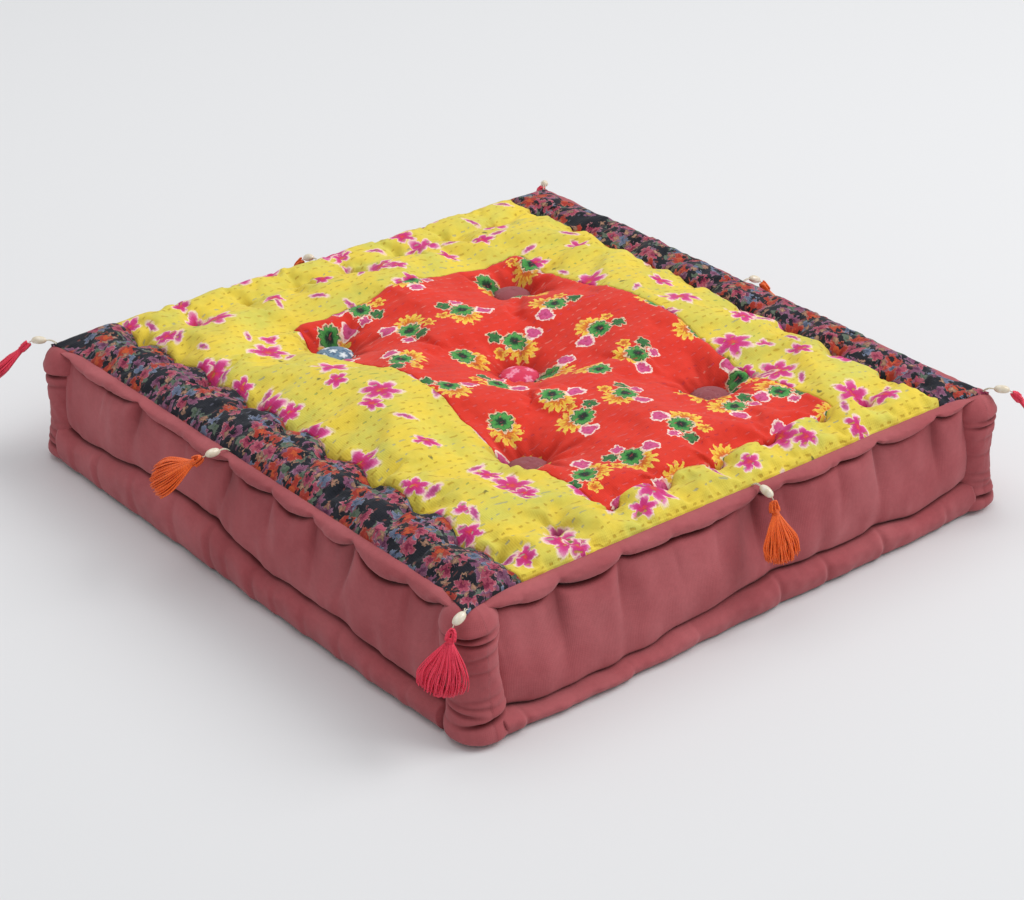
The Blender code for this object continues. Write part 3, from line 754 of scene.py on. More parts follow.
END_WALL = {
    "top": [(-275, 100), (-262, 99), (-256, 97), (-243, 96), (-226, 90), (-210, 88), (-199, 94),
            (-192, 94), (-185, 91), (-169, 88), (-153, 88), (-142, 92), (-133, 98), (-122, 93),
            (-99, 92), (-84, 91), (-73, 93), (-52, 90), (-32, 90), (-15, 93), (-3, 95), (10, 97),
            (17, 100), (24, 94), (34, 96), (44, 99), (63, 95), (82, 95), (103, 98), (112, 98),
            (125, 97), (140, 100), (148, 105), (156, 98), (174, 94), (200, 96), (212, 100),
            (220, 105), (228, 100), (240, 98), (252, 103), (275, 104)],
    "low": [(-275, 22), (-254, 21), (-234, 15), (-191, 14), (-177, 16), (-153, 13), (-135, 16),
            (-106, 15), (-86, 22), (-65, 21), (-32, 25), (-18, 28), (11, 26), (32, 30), (58, 28),
            (83, 28), (108, 26), (130, 26), (146, 29), (160, 28), (194, 21), (225, 26), (254, 32),
            (275, 32)],
    "rest": [(-275, 19), (-200, 21), (-100, 18), (0, 15), (100, 14), (200, 12), (275, 8)],
    "pinches": [(-258, 0.5), (-196, 0.9), (-134, 0.8), (-80, 0.4), (-32, 0.3), (17, 1.0), (44, 0.5),
                (105, 0.5), (148, 0.9), (220, 0.9), (256, 0.5)],
    "pleats": [(-246, 0.9), (-200, 0.3), (-137, 0.6), (-95, 0.3), (-66, 0.5), (27, 1.0), (80, 1.0),
               (148, 0.9), (194, 0.4), (228, 0.5)]}
WALL_CELL = 0.0019
CORNER_ROOM = 0.0235  # a wall stops this far short, where its corner roll stands
END_ROUND = 0.026  # a wall's end is rounded over this far
RECESS = 0.0115  # how far in the groove under the top roll lies
INTO_CORNER = 0.011  # how far a top roll runs on over its corner roll
WALL_GROOVE = 0.0135  # how far in the wall lies where it meets a roll
FOLD_DEEP = 0.0112
PLEAT_DEEP = 0.0032
PUCKER_DEEP = 0.0005
ROLL_SET_IN = 0.012  # how far in the top of the bottom roll starts
ROLL_OVERHANG = 0.010  # how far the bottom roll bulges past its foot
TASSEL_HOLLOW = 0.0085  # the wall is pressed in behind a tassel
BEAD_HOLLOW = 0.0030  # and the top roll behind a bead
joints = {joint["name"]: joint for joint in frame["joints"]}


def turned(wall, rest):
    """The same wall seen from the other side of the cushion, with its roll resting this far out."""
    other = {key: [(-a, b) for a, b in reversed(values)] for key, values in wall.items()}
    other["rest"] = rest
    return other


walls = {"front": ((0, -1), (1, 0), edge_y, edge_x, NEAR_WALL),
         "right": ((1, 0), (0, 1), edge_x, edge_y, END_WALL),
         "back": ((0, 1), (-1, 0), edge_y, edge_x, turned(NEAR_WALL, [(-275, 8), (275, 8)])),
         "left": ((-1, 0), (0, -1), edge_x, edge_y, turned(END_WALL, [(-275, 9), (275, 9)]))}


def eased(table, along, soft):
    """A table of places and values in mm, read in metres and rounded off over about soft."""
    fine = np.arange(-0.30, 0.30, 0.001)
    read = np.interp(fine, [a / 1000 for a, _ in table], [b / 1000 for _, b in table])
    spread = np.exp(-0.5 * (np.arange(-12, 13) * 0.001 / soft) ** 2)
    read = np.convolve(np.pad(read, 12, mode="edge"), spread / spread.sum(), mode="valid")
    return np.interp(along, fine, read)


def lapped(away, sharp, soft):
    """A fold seen across: sharp is its run on the far side of the crease, soft on the near."""
    return np.where(away > 0, np.exp(-away / sharp), np.exp(away / soft))


def tube_faces(rings, count, flipped=False, ends=True):
    """Faces round a tube of this many rings of this many points, with one over each end."""
    here = (np.arange(rings - 1)[:, None] * count + np.arange(count)).ravel()
    after = (np.arange(rings - 1)[:, None] * count + (np.arange(count) + 1) % count).ravel()
    first, last = list(range(count)), list(range((rings - 1) * count, rings * count))
    if flipped:
        faces, caps = [here, after, after + count, here + count], [first[::-1], last]
    else:
        faces, caps = [here, here + count, after + count, after], [first, last[::-1]]
    return np.stack(faces, 1).tolist() + (caps if ends else [])


def swept(name, side, replaced, offset, run, rise, depth, fold):
    """A stuffed roll: its outer line at each place along the wall, closed behind by a flat back."""
    out, along = walls[side][:2]
    behind = offset.min(1) - depth
    low = rise[:, -1] + 0.0006
    high = rise[:, 0] - 0.0006
    offset = np.concatenate([offset, np.stack([behind, behind], 1)], 1)
    rise = np.concatenate([rise, np.stack([low, high], 1)], 1)
    # The flat back behind the roll is given full painted shade.
    fold = np.concatenate([fold, np.ones((len(run), 2))], 1)
    run = run[:, None] if run.ndim == 1 else np.concatenate([run, run[:, -1:], run[:, :1]], 1)
    points = np.stack([out[0] * offset + along[0] * run, out[1] * offset + along[1] * run,
                       rise + 0 * run], 2).reshape(-1, 3)
    length = np.cumsum(np.hypot(np.diff(offset, axis=1, prepend=offset[:, :1]),
                                np.diff(rise, axis=1, prepend=rise[:, :1])), axis=1)
    made = make_piece(f"{name}_{side}", points, tube_faces(*offset.shape), rose_cotton,
                      np.stack([run + 0 * offset, length], 2).reshape(-1, 2), fold)
    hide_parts(f"{replaced}_{side}")


for side, (out, along, edge, run_edge, wall) in walls.items():
    reach = run_edge - CORNER_ROOM
    run = np.linspace(-reach, reach, int(2 * reach / WALL_CELL))
    seed = 40 + 7 * list(walls).index(side)
    top_groove = eased(wall["top"], run, 0.0032)
    low_groove = eased(wall["low"], run, 0.0045)
    resting = edge + eased(wall["rest"], run, 0.012)
    near_end = np.clip((np.abs(run) - (reach - END_ROUND)) / END_ROUND, 0, 1)
    hung = Vector(joints[f"lift_{side}"]["pos_m"]).dot(Vector(along + (0,)))
    laid = sum(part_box(f"tassel_{side}"), Vector()).dot(Vector(along + (0,))) / 2

    # Top roll, from the seam with the quilt down to the groove under it.
    arc = np.linspace(math.pi / 2, -math.pi / 2 * 1.08, 20)
    sine, cosine = np.sin(arc), np.maximum(np.cos(arc), 0) ** 0.75
    slack = np.zeros_like(run)
    for place_mm, strength in wall["pinches"]:
        away = run - place_mm / 1000
        slack += strength * (0.0030 * near(away, 0.0042) + 0.0022 * near(away - 0.004, 0.016))
    for place_mm, strength in wall["pleats"]:
        away = run - place_mm / 1000 - 0.013
        slack += strength * 0.0012 * near(away, 0.0030)
    slack += BEAD_HOLLOW * near(run - hung, 0.008)
    joining = smooth_step(np.abs(run), reach - 0.012, reach)
    under = top_groove + 0.0070 * joining
    tall = (seam_z + 0.0004 - 0.0026 * joining - under)[:, None]
    rise = under[:, None] + tall * (sine + 1) / 2
    stuffed = (SEAM_SET_IN + 0.0015 * lumps(run, run * 0, 0.06, seed)) * (1 - 0.22 * joining)
    share = (1 - sine) / 2
    offset = (edge - SEAM_SET_IN - (RECESS - 0.004) * share ** 3 + stuffed[:, None] * cosine
              - slack[:, None] * np.maximum(cosine, 0.12) * (0.42 + 1.1 * share))
    offset += 0.0005 * lumps(run[:, None] + 0 * arc, 0.03 * arc[None, :] + 0 * run[:, None], 0.018,
                             seed + 1) * cosine
    lean = (run + np.sign(run) * INTO_CORNER * joining)[:, None] + 0 * arc
    for place_mm, strength in wall["pinches"]:
        away = run[:, None] - place_mm / 1000
        lean = lean + 0.0035 * strength * near(away, 0.010) * share
    # Painted shade on the roll's underside where it turns into the groove, and at each pinch.
    tuck_shade = smooth_step(-sine, 0.55, 1.0)[None, :] + 0 * run[:, None]
    tuck_shade = np.clip(tuck_shade + 90 * slack[:, None] * share, 0, 1) * 0.9
    swept("top_roll_cover", side, "top_roll", offset, lean, rise, 0.012, tuck_shade)

    # Wall, swelling out between the two grooves and rounded at its ends.
    arc = np.linspace(math.pi / 2, -math.pi / 2, 34)
    sine, cosine = np.sin(arc), np.maximum(np.cos(arc), 0) ** 0.55
    tall = (top_groove + 0.0022 - low_groove)[:, None]
    rise = low_groove[:, None] + tall * (sine + 1) / 2
    share = (1 - sine) / 2
    full = (edge + 0.0030) + (resting - 0.007 - edge)[:, None] * share ** 1.2
    full = full + 0.0022 * lumps(run[:, None] + 0 * arc, rise * 0.5, 0.10, seed + 2)
    full = full + 0.0007 * lumps(run[:, None] + 0 * arc, rise * 0.6, 0.028, seed + 3)
    # Painted shade down each pinch's creases, darkest where they drop deepest.
    crease_shade = 0 * full
    for number, (place_mm, strength) in enumerate(wall["pinches"]):
        bend = 0.011 * math.sin(2.3 * number + 1) * share ** 1.3
        away = (run[:, None] - place_mm / 1000 - bend) * (1 if number % 2 else -1)
        fall = 1 - smooth_step(share, 0.10, 0.60 + 0.38 * strength)
        drop = strength ** 1.2 * lapped(away, 0.0056 + 0.005 * share, 0.020 + 0.016 * share) * fall
        full = full - FOLD_DEEP * drop
        crease_shade = np.maximum(crease_shade, 0.66 * drop ** 2.6)
    for place_mm, strength in wall["pleats"]:
        away = run[:, None] - place_mm / 1000
        full = full - strength * PLEAT_DEEP * near(away, 0.0090) * smooth_step(share, 0.40, 1.0)
    puckered = (1 - smooth_step(share, 0.0, 0.34)) + smooth_step(share, 0.62, 1.0)
    full = full + PUCKER_DEEP * lumps(run, run * 0, 0.017, seed + 6)[:, None] * puckered
    full = full - TASSEL_HOLLOW * near(run[:, None] - laid, 0.034) * (1 - 0.3 * share)
    grooved = edge - WALL_GROOVE + (resting - edge)[:, None] * share * 0.75
    rounded = np.sqrt(np.clip(1 - near_end ** 2.2, 0, 1))[:, None]
    offset = grooved + (full - grooved) * cosine * (0.10 + 0.90 * rounded)
    # Painted shade in the grooves at the top and bottom of the wall, on its rounded ends and down
    # each pinch crease.
    tuck_shade = np.maximum(smooth_step(np.abs(sine), 0.90, 1.0)[None, :] + 0 * run[:, None],
                        smooth_step(near_end, 0.80, 1.0)[:, None])
    tuck_shade = np.maximum(tuck_shade, crease_shade)
    swept("wall_cover", side, "side_panel", offset, run, rise, 0.010, tuck_shade)

    # Bottom roll, in short lengths that lap each other and rest flat on the floor.
    arc = np.linspace(math.pi / 2, -math.pi / 2, 26)
    sine, cosine = np.sin(arc), np.maximum(np.cos(arc), 0) ** 0.66
    rise = 0.0006 + (low_groove - 0.0006)[:, None] * ((sine + 1) / 2) ** 0.92
    share = (1 - sine) / 2
    lap = np.zeros_like(run)
    for place_mm, strength in wall["pleats"]:
        away = run - place_mm / 1000
        lap += strength * np.where(away < 0, 0.0019 * np.exp(away / 0.018),
                                   -0.0025 * np.exp(-away / 0.0090))
        lap -= strength ** 1.6 * 0.0015 * near(away - 0.001, 0.0020)
    spread = np.exp(-0.5 * (np.arange(-3, 4) / 1.0) ** 2)
    lap = np.convolve(np.pad(lap, 3, mode="edge"), spread / spread.sum(), mode="valid")
    base = (resting - ROLL_OVERHANG - edge + ROLL_SET_IN)[:, None] * share
    body = resting - edge + ROLL_SET_IN + lap + 0.0012 * lumps(run, run * 0, 0.05, seed + 4)
    offset = edge - ROLL_SET_IN + base + (body[:, None] - base) * cosine
    offset += 0.0006 * lumps(run[:, None] + 0 * arc, rise, 0.016, seed + 5) * cosine
    # Painted shade where the roll turns under onto the floor and up into its groove, and in each
    # lap.
    tuck_shade = smooth_step(np.abs(sine), 0.86, 1.0)[None, :] + 0 * run[:, None]
    tuck_shade = np.clip(tuck_shade + np.clip(-lap - 0.0008, 0, 1)[:, None] * 130, 0, 1)
    slant = run[:, None] + 0.004 * (share - 0.5)
    swept("bottom_roll_cover", side, "bottom_roll", offset, slant, rise, 0.020, tuck_shade)


# ---------------------------------------------------------------------------
# Corner rolls: the same rose cotton stitched into a standing roll at each
# corner. The slack is taken up in gathers, with two deep ones under the top
# and one above the knob that the corner stands on.
# ---------------------------------------------------------------------------
# Each gather: its height, how deep it goes and how narrow it is, in metres.
GATHERS = [(0.0905, 0.0040, 0.0016), (0.0842, 0.0036, 0.0015), (0.0735, 0.0012, 0.0019),
           (0.0610, 0.0008, 0.0016), (0.0395, 0.0009, 0.0018), (0.0330, 0.0013, 0.0015),
           (0.0262, 0.0026, 0.0016), (0.0195, 0.0048, 0.0018)]
# How far each roll's foot stands off its head.
LEAN_OUT = {"front_left": (0.000, 0.000), "front_right": (0.013, -0.002),
            "back_right": (0.002, 0.002), "back_left": (-0.002, 0.002)}
ROLL_AROUND = 72
CAP_ROUND = 0.018
for number, corner in enumerate(LEAN_OUT):
    low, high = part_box(f"corner_roll_{corner}")
    middle = (low + high) / 2
    radius = (high.x - low.x) / 2
    top = seam_z + 0.0002
    outward = math.atan2(middle.y, middle.x)
    turn = np.linspace(0, 2 * math.pi, ROLL_AROUND + 1)[:-1]
    level = np.concatenate([np.linspace(0.0008, top - CAP_ROUND, 92)[:-1],
                            top - CAP_ROUND * (1 - np.sin(np.linspace(0, math.pi / 2, 16)))])
    angle, height_at = np.meshgrid(turn, level)
    draw = np.random.default_rng(60 + number)
    wide = radius * (0.985 + 0.015 * np.sin(height_at * 70 + number))
    from_top = np.clip((top - height_at) / CAP_ROUND, 0, 1)
    wide = wide * (0.30 + 0.70 * np.sqrt(np.clip(1 - (1 - from_top) ** 2, 0, 1)))
    knob = near(height_at - 0.0095, 0.0085)
    wide = wide + 0.0028 * knob - 0.006 * near(height_at, 0.0035)
    # Painted shade in each gather, from how deep it cuts in.
    gather_shade = np.zeros_like(wide)
    for place, deep, narrow in GATHERS:
        facing = outward + draw.uniform(-0.8, 0.8)
        tilt = draw.uniform(-0.0034, 0.0034)
        line = place + draw.uniform(-0.0015, 0.0015) + tilt * np.sin(angle - outward)
        line = line - 0.0018 * np.cos(angle - outward)
        amount = deep * (0.12 + 0.88 * np.clip(np.cos(angle - facing), 0, 1) ** 1.4)
        groove = near(height_at - line, narrow) * amount
        wide = wide - groove + 0.35 * amount * near(height_at - line - 2.4 * narrow, 1.8 * narrow)
        gather_shade = gather_shade + groove * 260
    slack = near(height_at - 0.054, 0.030)
    wide = wide + 0.0012 * slack * (np.cos(3 * (angle - outward) + 60 * height_at) - 1)
    wide = wide + 0.0004 * lumps(angle * radius, height_at, 0.014, 70 + number)
    lean = 1 - height_at / top
    across = middle.x + LEAN_OUT[corner][0] * lean ** 1.5 + wide * np.cos(angle)
    along_y = middle.y + LEAN_OUT[corner][1] * lean ** 1.5 + wide * np.sin(angle)
    points = np.stack([across, along_y, height_at], 2).reshape(-1, 3)
    piece = make_piece(f"corner_cover_{corner}", points, tube_faces(*angle.shape, flipped=True),
                       rose_cotton, np.stack([angle * radius, height_at], 2).reshape(-1, 2),
                       np.clip(gather_shade, 0, 1))
    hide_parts(f"corner_roll_{corner}")


# ---------------------------------------------------------------------------
# Underside: a plain panel of the same rose cotton sewn to the bottom rolls. It
# lies on the floor and is drawn up a little where each tuft pulls through.
# ---------------------------------------------------------------------------
UNDER_SET_IN = 0.019
under_x = np.linspace(-edge_x + UNDER_SET_IN, edge_x - UNDER_SET_IN, 120)
under_y = np.linspace(-edge_y + UNDER_SET_IN, edge_y - UNDER_SET_IN, 116)
at_x, at_y = np.meshgrid(under_x, under_y, indexing="ij")
drawn_up = 0.0016 + 0.0007 * lumps(at_x, at_y, 0.05, 90)
for number, centre in enumerate(tufts.values()):
    out = np.hypot(at_x - centre.x, at_y - centre.y)
    turn = np.arctan2(at_y - centre.y, at_x - centre.x)
    drawn_up += 0.0098 * (1 - smooth_step(out, 0.014, 0.060))
    drawn_up += (0.0011 * np.cos(10 * turn + number) * smooth_step(out, 0.018, 0.03)
                 * (1 - smooth_step(out, 0.03, 0.06)))
points = np.stack([at_x, at_y, np.maximum(drawn_up, 0.0006)], 2).reshape(-1, 3)
under = make_piece("underside_panel", points, grid_faces(*at_x.shape)[:, ::-1].tolist(),
                   rose_cotton, points[:, :2], np.zeros(len(points)))
lining = under.modifiers.new("cloth", "SOLIDIFY")
lining.thickness = 0.0012
lining.offset = -1
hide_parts("bottom_panel")


# ---------------------------------------------------------------------------
# Filling: carded cotton beaten into one firm mattress. The cover hides it.
# Waxed twine runs through it at each tuft, from the top button to the bottom.
# ---------------------------------------------------------------------------
# Raw carded cotton: matt and off-white, in clouds of loose fibre about 17 mm
# across.
cotton_wool, shader = new_material("carded_cotton", {"Roughness": 0.95})
fluff = node(cotton_wool, "ShaderNodeTexNoise", {"Scale": 60.0, "Detail": 6.0})
tone = node(cotton_wool, "ShaderNodeValToRGB", {0: fluff},
            [(0.0, "D8D2C2", 1), (1.0, "F4F0E6", 1)])
lint = node(cotton_wool, "ShaderNodeBump", {"Height": fluff, "Distance": 0.002})
feed(cotton_wool, shader, {"Base Color": tone, "Normal": lint})
CORE_SET_IN = 0.046
CORE_MIDDLE = 0.055  # height of its widest line
CORE_UNDER = 0.0155
CORE_EDGE = 0.02
UNDER_QUILT = 0.0085  # it lies this far below the quilt
core_x = np.linspace(-edge_x + CORE_SET_IN, edge_x - CORE_SET_IN, 58)
core_y = np.linspace(-edge_y + CORE_SET_IN, edge_y - CORE_SET_IN, 56)
at_x, at_y = np.meshgrid(core_x, core_y, indexing="ij")
rim = np.minimum(edge_x - CORE_SET_IN - np.abs(at_x), edge_y - CORE_SET_IN - np.abs(at_y))
rounded = np.sqrt(np.clip(1 - (1 - np.clip(rim / CORE_EDGE, 0, 1)) ** 2, 0, 1))
upper = CORE_MIDDLE + (sample(height, at_x, at_y) - UNDER_QUILT - CORE_MIDDLE) * rounded
lower = CORE_MIDDLE + (CORE_UNDER - CORE_MIDDLE) * rounded
rows, columns = at_x.shape
points = np.concatenate([np.stack([at_x, at_y, upper], 2).reshape(-1, 3),
                         np.stack([at_x, at_y, lower], 2).reshape(-1, 3)])
faces = grid_faces(rows, columns)
core = make_piece("carded_cotton_core", points,
                  np.concatenate([faces, faces[:, ::-1] + rows * columns]).tolist(),
                  cotton_wool, points[:, :2], np.zeros(len(points)))
joined = core.modifiers.new("closed_at_its_edge", "WELD")
joined.merge_threshold = 0.0002
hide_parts("cotton_filling")

# Waxed cotton twine: the wax gives it a dull shine along its 1 mm twist, painted into its colour as
# light and dark bands.
waxed_twine, shader = new_material("waxed_cotton_twine", {"Roughness": 0.6})
painted_twist_shine = node(waxed_twine, "ShaderNodeTexWave", {"Scale": 320.0, "Distortion": 1.0},
               bands_direction="DIAGONAL")
feed(waxed_twine, shader, {"Base Color": node(
    waxed_twine, "ShaderNodeValToRGB", {0: painted_twist_shine.outputs["Fac"]},
    [(0.0, "B8A888", 1), (1.0, "E2D8C0", 1)])})
for name, solid in frame["nodes"].items():
    if name.startswith("tuft_twine_"):
        solid.data.materials.clear()
        solid.data.materials.append(waxed_twine)


# ---------------------------------------------------------------------------
# Tuft buttons: tin shells 38 mm across, each covered in an offcut of printed
# cotton gathered round its rim, one over each tuft and one under it.
# ---------------------------------------------------------------------------
def button_cotton(name, ground, pattern):
    """A fine printed cotton for a button, with small flowers on its ground."""
    material, place, finish = cotton(name, "6A3A40", bloom=0.12, nap=0.00012)
    colour = node(material, "ShaderNodeRGB")
    colour.outputs[0].default_value = linear(ground)
    for apart, seed, size, lobes, stops in pattern:
        within, luck = scatter(material, place, apart, seed, ragged=0.003)
        colour = petals(material, colour, within, luck, (0, 0), size, lobes, 0.45, stops, 0.85)
    return finish(colour)


mauve_cotton = button_cotton("mauve_button_cotton", "8E4A50", [
    (0.011, 3, 0.0042, 4, [(0.0, "7A3A44", 1), (0.7, "9A5A60", 0.8), (1.0, "8E4A50", 0.0)])])
slate_cotton = button_cotton("slate_flower_button_cotton", "6E8AA0", [
    (0.013, 5, 0.0062, 5, [(0.0, "E8ECEC", 1), (0.5, "C8D4DA", 1), (0.8, "4A6480", 0.9),
                           (1.0, "4A6480", 0.0)]),
    (0.010, 9, 0.0030, 3, [(0.0, "3E5470", 1), (1.0, "3E5470", 0.0)])])
pink_cotton = button_cotton("pink_flower_button_cotton", "D83A5A", [
    (0.012, 7, 0.0060, 6, [(0.0, "E86A90", 1), (0.45, "F0A0B4", 1), (0.8, "E0507C", 0.9),
                           (1.0, "D83A5A", 0.0)])])
COVERED = {"front_left": (slate_cotton, "blue_grey_print"), "middle": (pink_cotton, "pink_print")}
BUTTON_RIM_FOLDS = 22
BUTTON_RISE = 0.0088
across, ring = np.meshgrid(np.linspace(0, 1, 22)[1:], np.linspace(0, 2 * math.pi, 89)[:-1],
                           indexing="ij")
for name in sorted(frame["nodes"]):
    if not name.startswith(("top_button_", "bottom_button_")):
        continue
    upward = name.startswith("top_button_")
    where = name.split("_button_")[1]
    low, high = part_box(name)
    middle = (low + high) / 2
    radius = (high.x - low.x) / 2
    base = TUFT_FLOOR - 0.0006 if upward else high.z
    rise = BUTTON_RISE if upward else -(high.z - low.z)
    puff = (1 - across ** 2.4) ** 0.62
    gathers = 0.00035 * np.cos(BUTTON_RIM_FOLDS * ring) * smooth_step(across, 0.72, 0.96)
    dome = base + rise * puff * (0.96 + 0.04 * np.cos(2 * ring + middle.x * 20))
    spread = radius * across * (1 + gathers / radius * 2)
    points = np.stack([middle.x + spread * np.cos(ring), middle.y + spread * np.sin(ring),
                       dome + gathers * (1 if upward else -1)], 2).reshape(-1, 3)
    count = ring.shape[1]
    last = len(points)
    points = np.concatenate([points, [[middle.x, middle.y, base + rise],
                                      [middle.x, middle.y, base - 0.001 * (1 if upward else -1)]]])
    faces = tube_faces(*ring.shape, ends=False)
    faces += [[last, k, (k + 1) % count] for k in range(count)]
    outer = last - count
    faces += [[last + 1, outer + (k + 1) % count, outer + k] for k in range(count)]
    if not upward:
        faces = [face[::-1] for face in faces]
    shade = np.concatenate([0.55 * smooth_step(across, 0.86, 1.0).ravel(), [0, 0]])
    chosen, slot = (COVERED.get(where, (mauve_cotton, "mauve_cotton")) if upward
                    else (rose_cotton, "rose_cotton"))
    piece = make_piece(f"covered_{name}", points, faces, chosen, points[:, :2], shade)
    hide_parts(name)


# ---------------------------------------------------------------------------
# Trims: at each corner and mid-edge a small shell bead hangs from a stitch in
# the top seam, and a tassel of rayon yarn hangs from the bead. The tassel is a
# hank looped through the bead's thread, bound below its loops and combed out.
# ---------------------------------------------------------------------------
# Tumbled shell: glossy, with light sinking a little way in and faint cloudy bands.
shell, shader = new_material("polished_cowrie_shell", {
    "IOR": 1.53, "Coat Weight": 0.35, "Coat Roughness": 0.15, "Subsurface Weight": 0.12,
    "Subsurface Radius": (0.002, 0.0016, 0.0012)})
coords = node(shell, "ShaderNodeTexCoord")
bands = node(shell, "ShaderNodeTexNoise", {"Vector": coords.outputs["Object"], "Scale": 260.0,
                                           "Detail": 4.0})
tint = node(shell, "ShaderNodeValToRGB", {0: bands}, [(0.3, "D8C8AC", 1), (1.0, "F4EEE2", 1)])
gloss = node(shell, "ShaderNodeMapRange", {0: bands, 3: 0.22, 4: 0.42})
feed(shell, shader, {"Base Color": tint, "Roughness": gloss})


def rayon(name, light, dark):
    """Viscose yarn, twisted every 1.2 mm, its colour a random dye-lot tone with a painted highlight
    in bands along each twist: bright along each strand, soft across the hank.
    """
    material, shader = new_material(name, {"Roughness": 0.52, "IOR": 1.52, "Sheen Weight": 0.1})
    place = node(material, "ShaderNodeUVMap", uv_map="cut").outputs["UV"]
    twist = node(material, "ShaderNodeTexWave", {"Vector": place, "Scale": 260.0,
                                                 "Distortion": 1.5},
                 bands_direction="DIAGONAL").outputs["Fac"]
    lot = node(material, "ShaderNodeTexNoise", {"Vector": place, "Scale": 90.0})
    # Painted highlight and shade along the twist, added to random dye-lot tone.
    twist_sheen_and_lot = node(material, "ShaderNodeMath", {0: twist, 1: 0.35, 2: lot},
                 operation="MULTIPLY_ADD")
    tone = node(material, "ShaderNodeValToRGB", {0: twist_sheen_and_lot}, [(0.35, dark, 1), (0.85, light, 1)])
    bump = node(material, "ShaderNodeBump", {"Height": twist, "Distance": 0.0002,
                                             "Strength": 0.6})
    feed(material, shader, {"Base Color": tone, "Normal": bump})
    return material


crimson = rayon("crimson_rayon_yarn", "F63C5A", "D81E40")
orange = rayon("orange_rayon_yarn", "FA6C10", "D64A02")
ecru = rayon("ecru_sewing_thread", "E8DEC8", "B8AC92")


def yarn_piece(name, paths, radii, material, body, sides=5):
    """Yarns of these radii along these paths, made as one piece."""
    points, faces, places = [], [], []
    angle = 2 * math.pi * np.arange(sides) / sides
    for number, (path, radius) in enumerate(zip(paths, radii)):
        path = np.asarray(path, float)
        ahead = np.gradient(path, axis=0)
        ahead /= np.linalg.norm(ahead, axis=1, keepdims=True) + 1e-12
        across = np.cross(ahead, (0.21, 0.37, 0.905))
        across /= np.linalg.norm(across, axis=1, keepdims=True) + 1e-12
        over = np.cross(ahead, across)
        run = np.concatenate([[0], np.cumsum(np.linalg.norm(np.diff(path, axis=0), axis=1))])
        radius = np.broadcast_to(radius, len(path))[:, None]
        skin = (np.cos(angle)[:, None] * across[:, None] + np.sin(angle)[:, None] * over[:, None])
        start = len(points) * sides
        points.extend(path[:, None] + radius[:, :, None] * skin)
        places.extend(np.stack([run[:, None] + 0 * angle + number * 0.013,
                                radius * angle + number * 0.0071], 2))
        faces += [[start + k for k in face] for face in tube_faces(len(path), sides, True)]
    return make_piece(name, np.reshape(points, (-1, 3)), faces, material,
                      np.reshape(places, (-1, 2)), body=body)


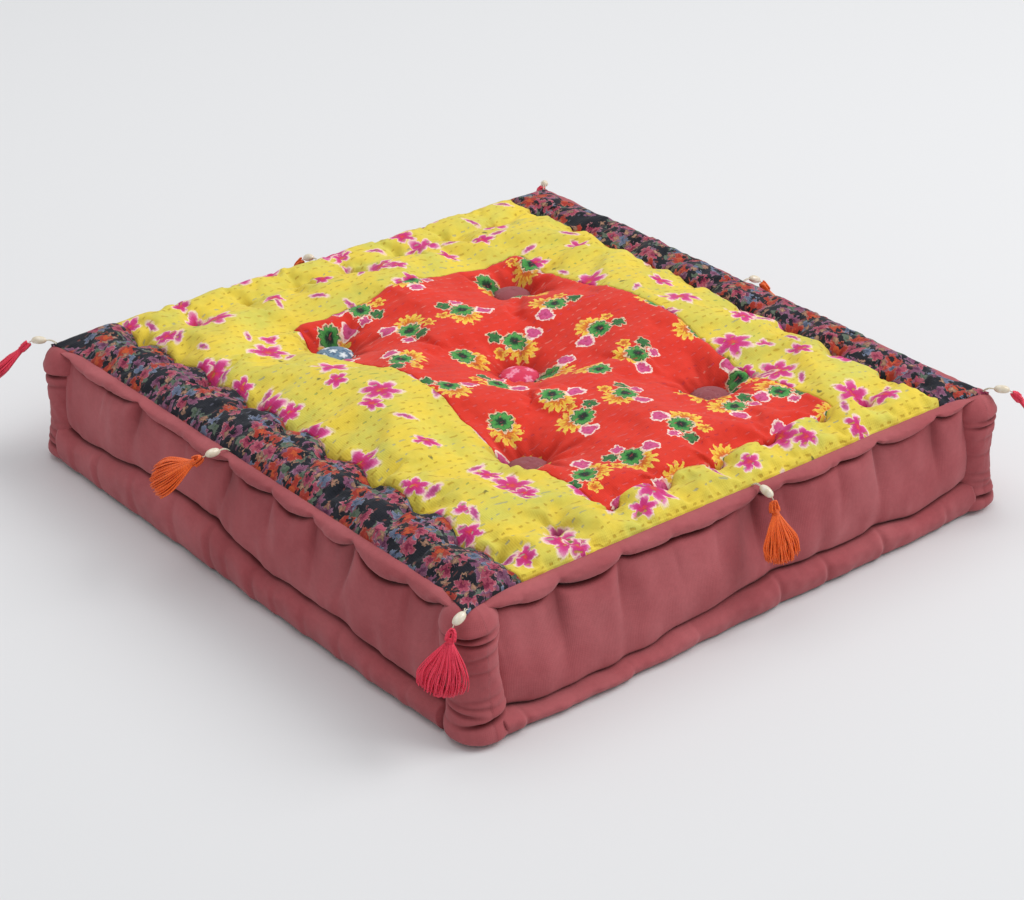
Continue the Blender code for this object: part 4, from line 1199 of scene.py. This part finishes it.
STRANDS = 210
LOOPS = 14
BEAD_RADIUS = 0.0039
SLIT_DEEP = 0.0011
STITCH_THREAD = 0.00042
LOOP_TALL = 0.0092  # the loops above the binding
LOOP_FOOT = 0.0108
LOOP_YARN = 0.00085
NECK = 0.0100  # the yarns start this far below the knot
NECK_RADIUS = 0.0016
YARN_RADIUS = 0.00068  # real yarn is half as thick, and there are fewer of these
BINDING_TURNS = 6
BINDING_THREAD = 0.00048
BINDING_TOP = 0.0098  # how far below the knot it starts
BINDING_TALL = 0.0038
for number, trim in enumerate(("front_left", "front_right", "back_right", "back_left",
                               "front", "right", "back", "left")):
    draw = np.random.default_rng(200 + number)
    sewn = np.array(joints[f"lift_{trim}"]["pos_m"])
    knot = np.array(joints[f"sway_{trim}"]["pos_m"])
    line = (knot - sewn) / np.linalg.norm(knot - sewn)

    # Bead: an oval shell with a toothed slit down one side.
    outline, about = np.meshgrid(np.linspace(0, math.pi, 28),
                                 np.linspace(0, 2 * math.pi, 33)[:-1], indexing="ij")
    side_way = np.cross(line, (0, 0, 1))
    side_way /= np.linalg.norm(side_way)
    face_up = np.cross(side_way, line)
    length = np.linalg.norm(knot - sewn) - 0.0010
    centre = (sewn + knot) / 2
    wide = BEAD_RADIUS * np.sin(outline) ** 0.85
    slit = near(np.angle(np.exp(1j * (about + math.pi / 2))), 0.16) * np.sin(outline) ** 0.5
    teeth = 0.5 + 0.5 * np.cos(outline * 26)
    wide = wide - SLIT_DEEP * slit * (0.65 + 0.35 * teeth)
    flat_belly = np.where(np.sin(about) < 0, 0.80, 1.0)
    points = (centre + (-np.cos(outline) * length / 2)[..., None] * line
              + (wide * np.cos(about))[..., None] * side_way
              + (wide * np.sin(about) * flat_belly)[..., None] * face_up).reshape(-1, 3)
    bead = make_piece(f"cowrie_{trim}", points,
                      tube_faces(*outline.shape, flipped=True, ends=False), shell,
                      body=f"bead_{trim}")
    tips = bead.modifiers.new("closed_tips", "WELD")
    tips.merge_threshold = 0.00005
    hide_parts(f"shell_bead_{trim}")

    # Stitch: two turns of ecru thread from the seam over the bead's end.
    inward = -np.sign(sewn[:2]) * (np.abs(sewn[:2]) > 0.1)
    inward = np.append(inward, 0) / np.linalg.norm(inward)
    paths = []
    for k in (-1, 1):
        t = np.linspace(0, 1, 9)[:, None]
        start = sewn + inward * 0.010 + side_way * k * 0.0012 + np.array([0, 0, -0.0040])
        paths.append(start * (1 - t) + (sewn + line * 0.0012 + side_way * k * 0.0004) * t
                     + np.array([0, 0, 0.0020]) * np.sin(math.pi * t))
    stitch = yarn_piece(f"stitch_{trim}", paths, [STITCH_THREAD] * 2, ecru, "cushion")

    # Tassel: it hangs along the line of its CAD form, wider one way than the other.
    cloud = np.array([v.co for v in frame["nodes"][f"tassel_{trim}"].data.vertices])
    spread = cloud - cloud.mean(0)
    _, _, ways = np.linalg.svd(spread, full_matrices=False)
    down = cloud[np.argsort(np.linalg.norm(cloud - knot, axis=1))[-20:]].mean(0) - knot
    down /= np.linalg.norm(down)
    fan_way = ways[1] - down * (ways[1] @ down)
    if abs(ways[1] @ down) > 0.7:
        fan_way = ways[0] - down * (ways[0] @ down)
    fan_way /= np.linalg.norm(fan_way)
    thin_way = np.cross(down, fan_way)
    drop = ((cloud - knot) @ down).max()
    fan = np.abs((cloud - knot) @ fan_way).max()
    thin = np.abs((cloud - knot) @ thin_way).max()
    yarn = orange if trim in ("front", "right", "back", "left") else crimson
    paths, radii = [], []
    for k in range(LOOPS):
        t = np.linspace(-0.15, math.pi + 0.15, 15)
        tall, broad = LOOP_TALL * draw.uniform(0.55, 1.0), 0.0034 * draw.uniform(0.3, 1.15)
        shift = (k / (LOOPS - 1) - 0.5) * 0.0050
        paths.append(knot + down * LOOP_FOOT - np.sin(t)[:, None] * tall * 0.92 * down
                     + np.cos(t)[:, None] * broad * fan_way + shift * thin_way)
        radii.append(LOOP_YARN)
    for k in range(STRANDS):
        t = np.linspace(0, 1, 15)
        turn = draw.uniform(0, 2 * math.pi)
        away = math.sqrt(draw.uniform(0.02, 1))
        stray = 1.0 if k > 3 else 1.18
        end_fan = fan * away * math.cos(turn) * draw.uniform(0.85, 1.0) * stray
        end_thin = thin * away * math.sin(turn) * draw.uniform(0.75, 1.1)
        reach = drop * (1 - 0.16 * (end_fan / fan) ** 2) * draw.uniform(0.93, 1.0)
        open_out = smooth_step(t, 0.02, 0.95) ** 0.72 * (1 - 0.20 * t)
        wave = 0.0007 * np.sin(t * draw.uniform(7, 13) + turn) * t
        over_fan = NECK_RADIUS * math.cos(turn) * (1 - t) + end_fan * open_out + wave
        over_thin = NECK_RADIUS * math.sin(turn) * (1 - t) + end_thin * open_out + wave * 0.6
        paths.append(knot + down * (NECK + (reach - NECK) * t)[:, None]
                     + fan_way * over_fan[:, None] + thin_way * over_thin[:, None])
        radii.append(YARN_RADIUS * np.linspace(1, 0.66, 15))
    t = np.linspace(0, 1, 90)
    wrap = 2 * math.pi * BINDING_TURNS * t
    paths.append(knot + down * (BINDING_TOP + BINDING_TALL * t)[:, None]
                 + fan_way * (0.0029 * np.cos(wrap))[:, None]
                 + thin_way * (0.0027 * np.sin(wrap))[:, None])
    radii.append(BINDING_THREAD)
    tassel = yarn_piece(f"yarn_tassel_{trim}", paths, radii, yarn, f"tassel_{trim}", sides=4)
    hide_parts(f"tassel_{trim}")
    link = [knot - line * 0.0012 + (down * 0.0028 + line * 0.0012) * along
            for along in np.linspace(0, 1, 5)]
    knotted = yarn_piece(f"tassel_thread_{trim}", [link], [0.0005], ecru, f"tassel_{trim}")

low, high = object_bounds()
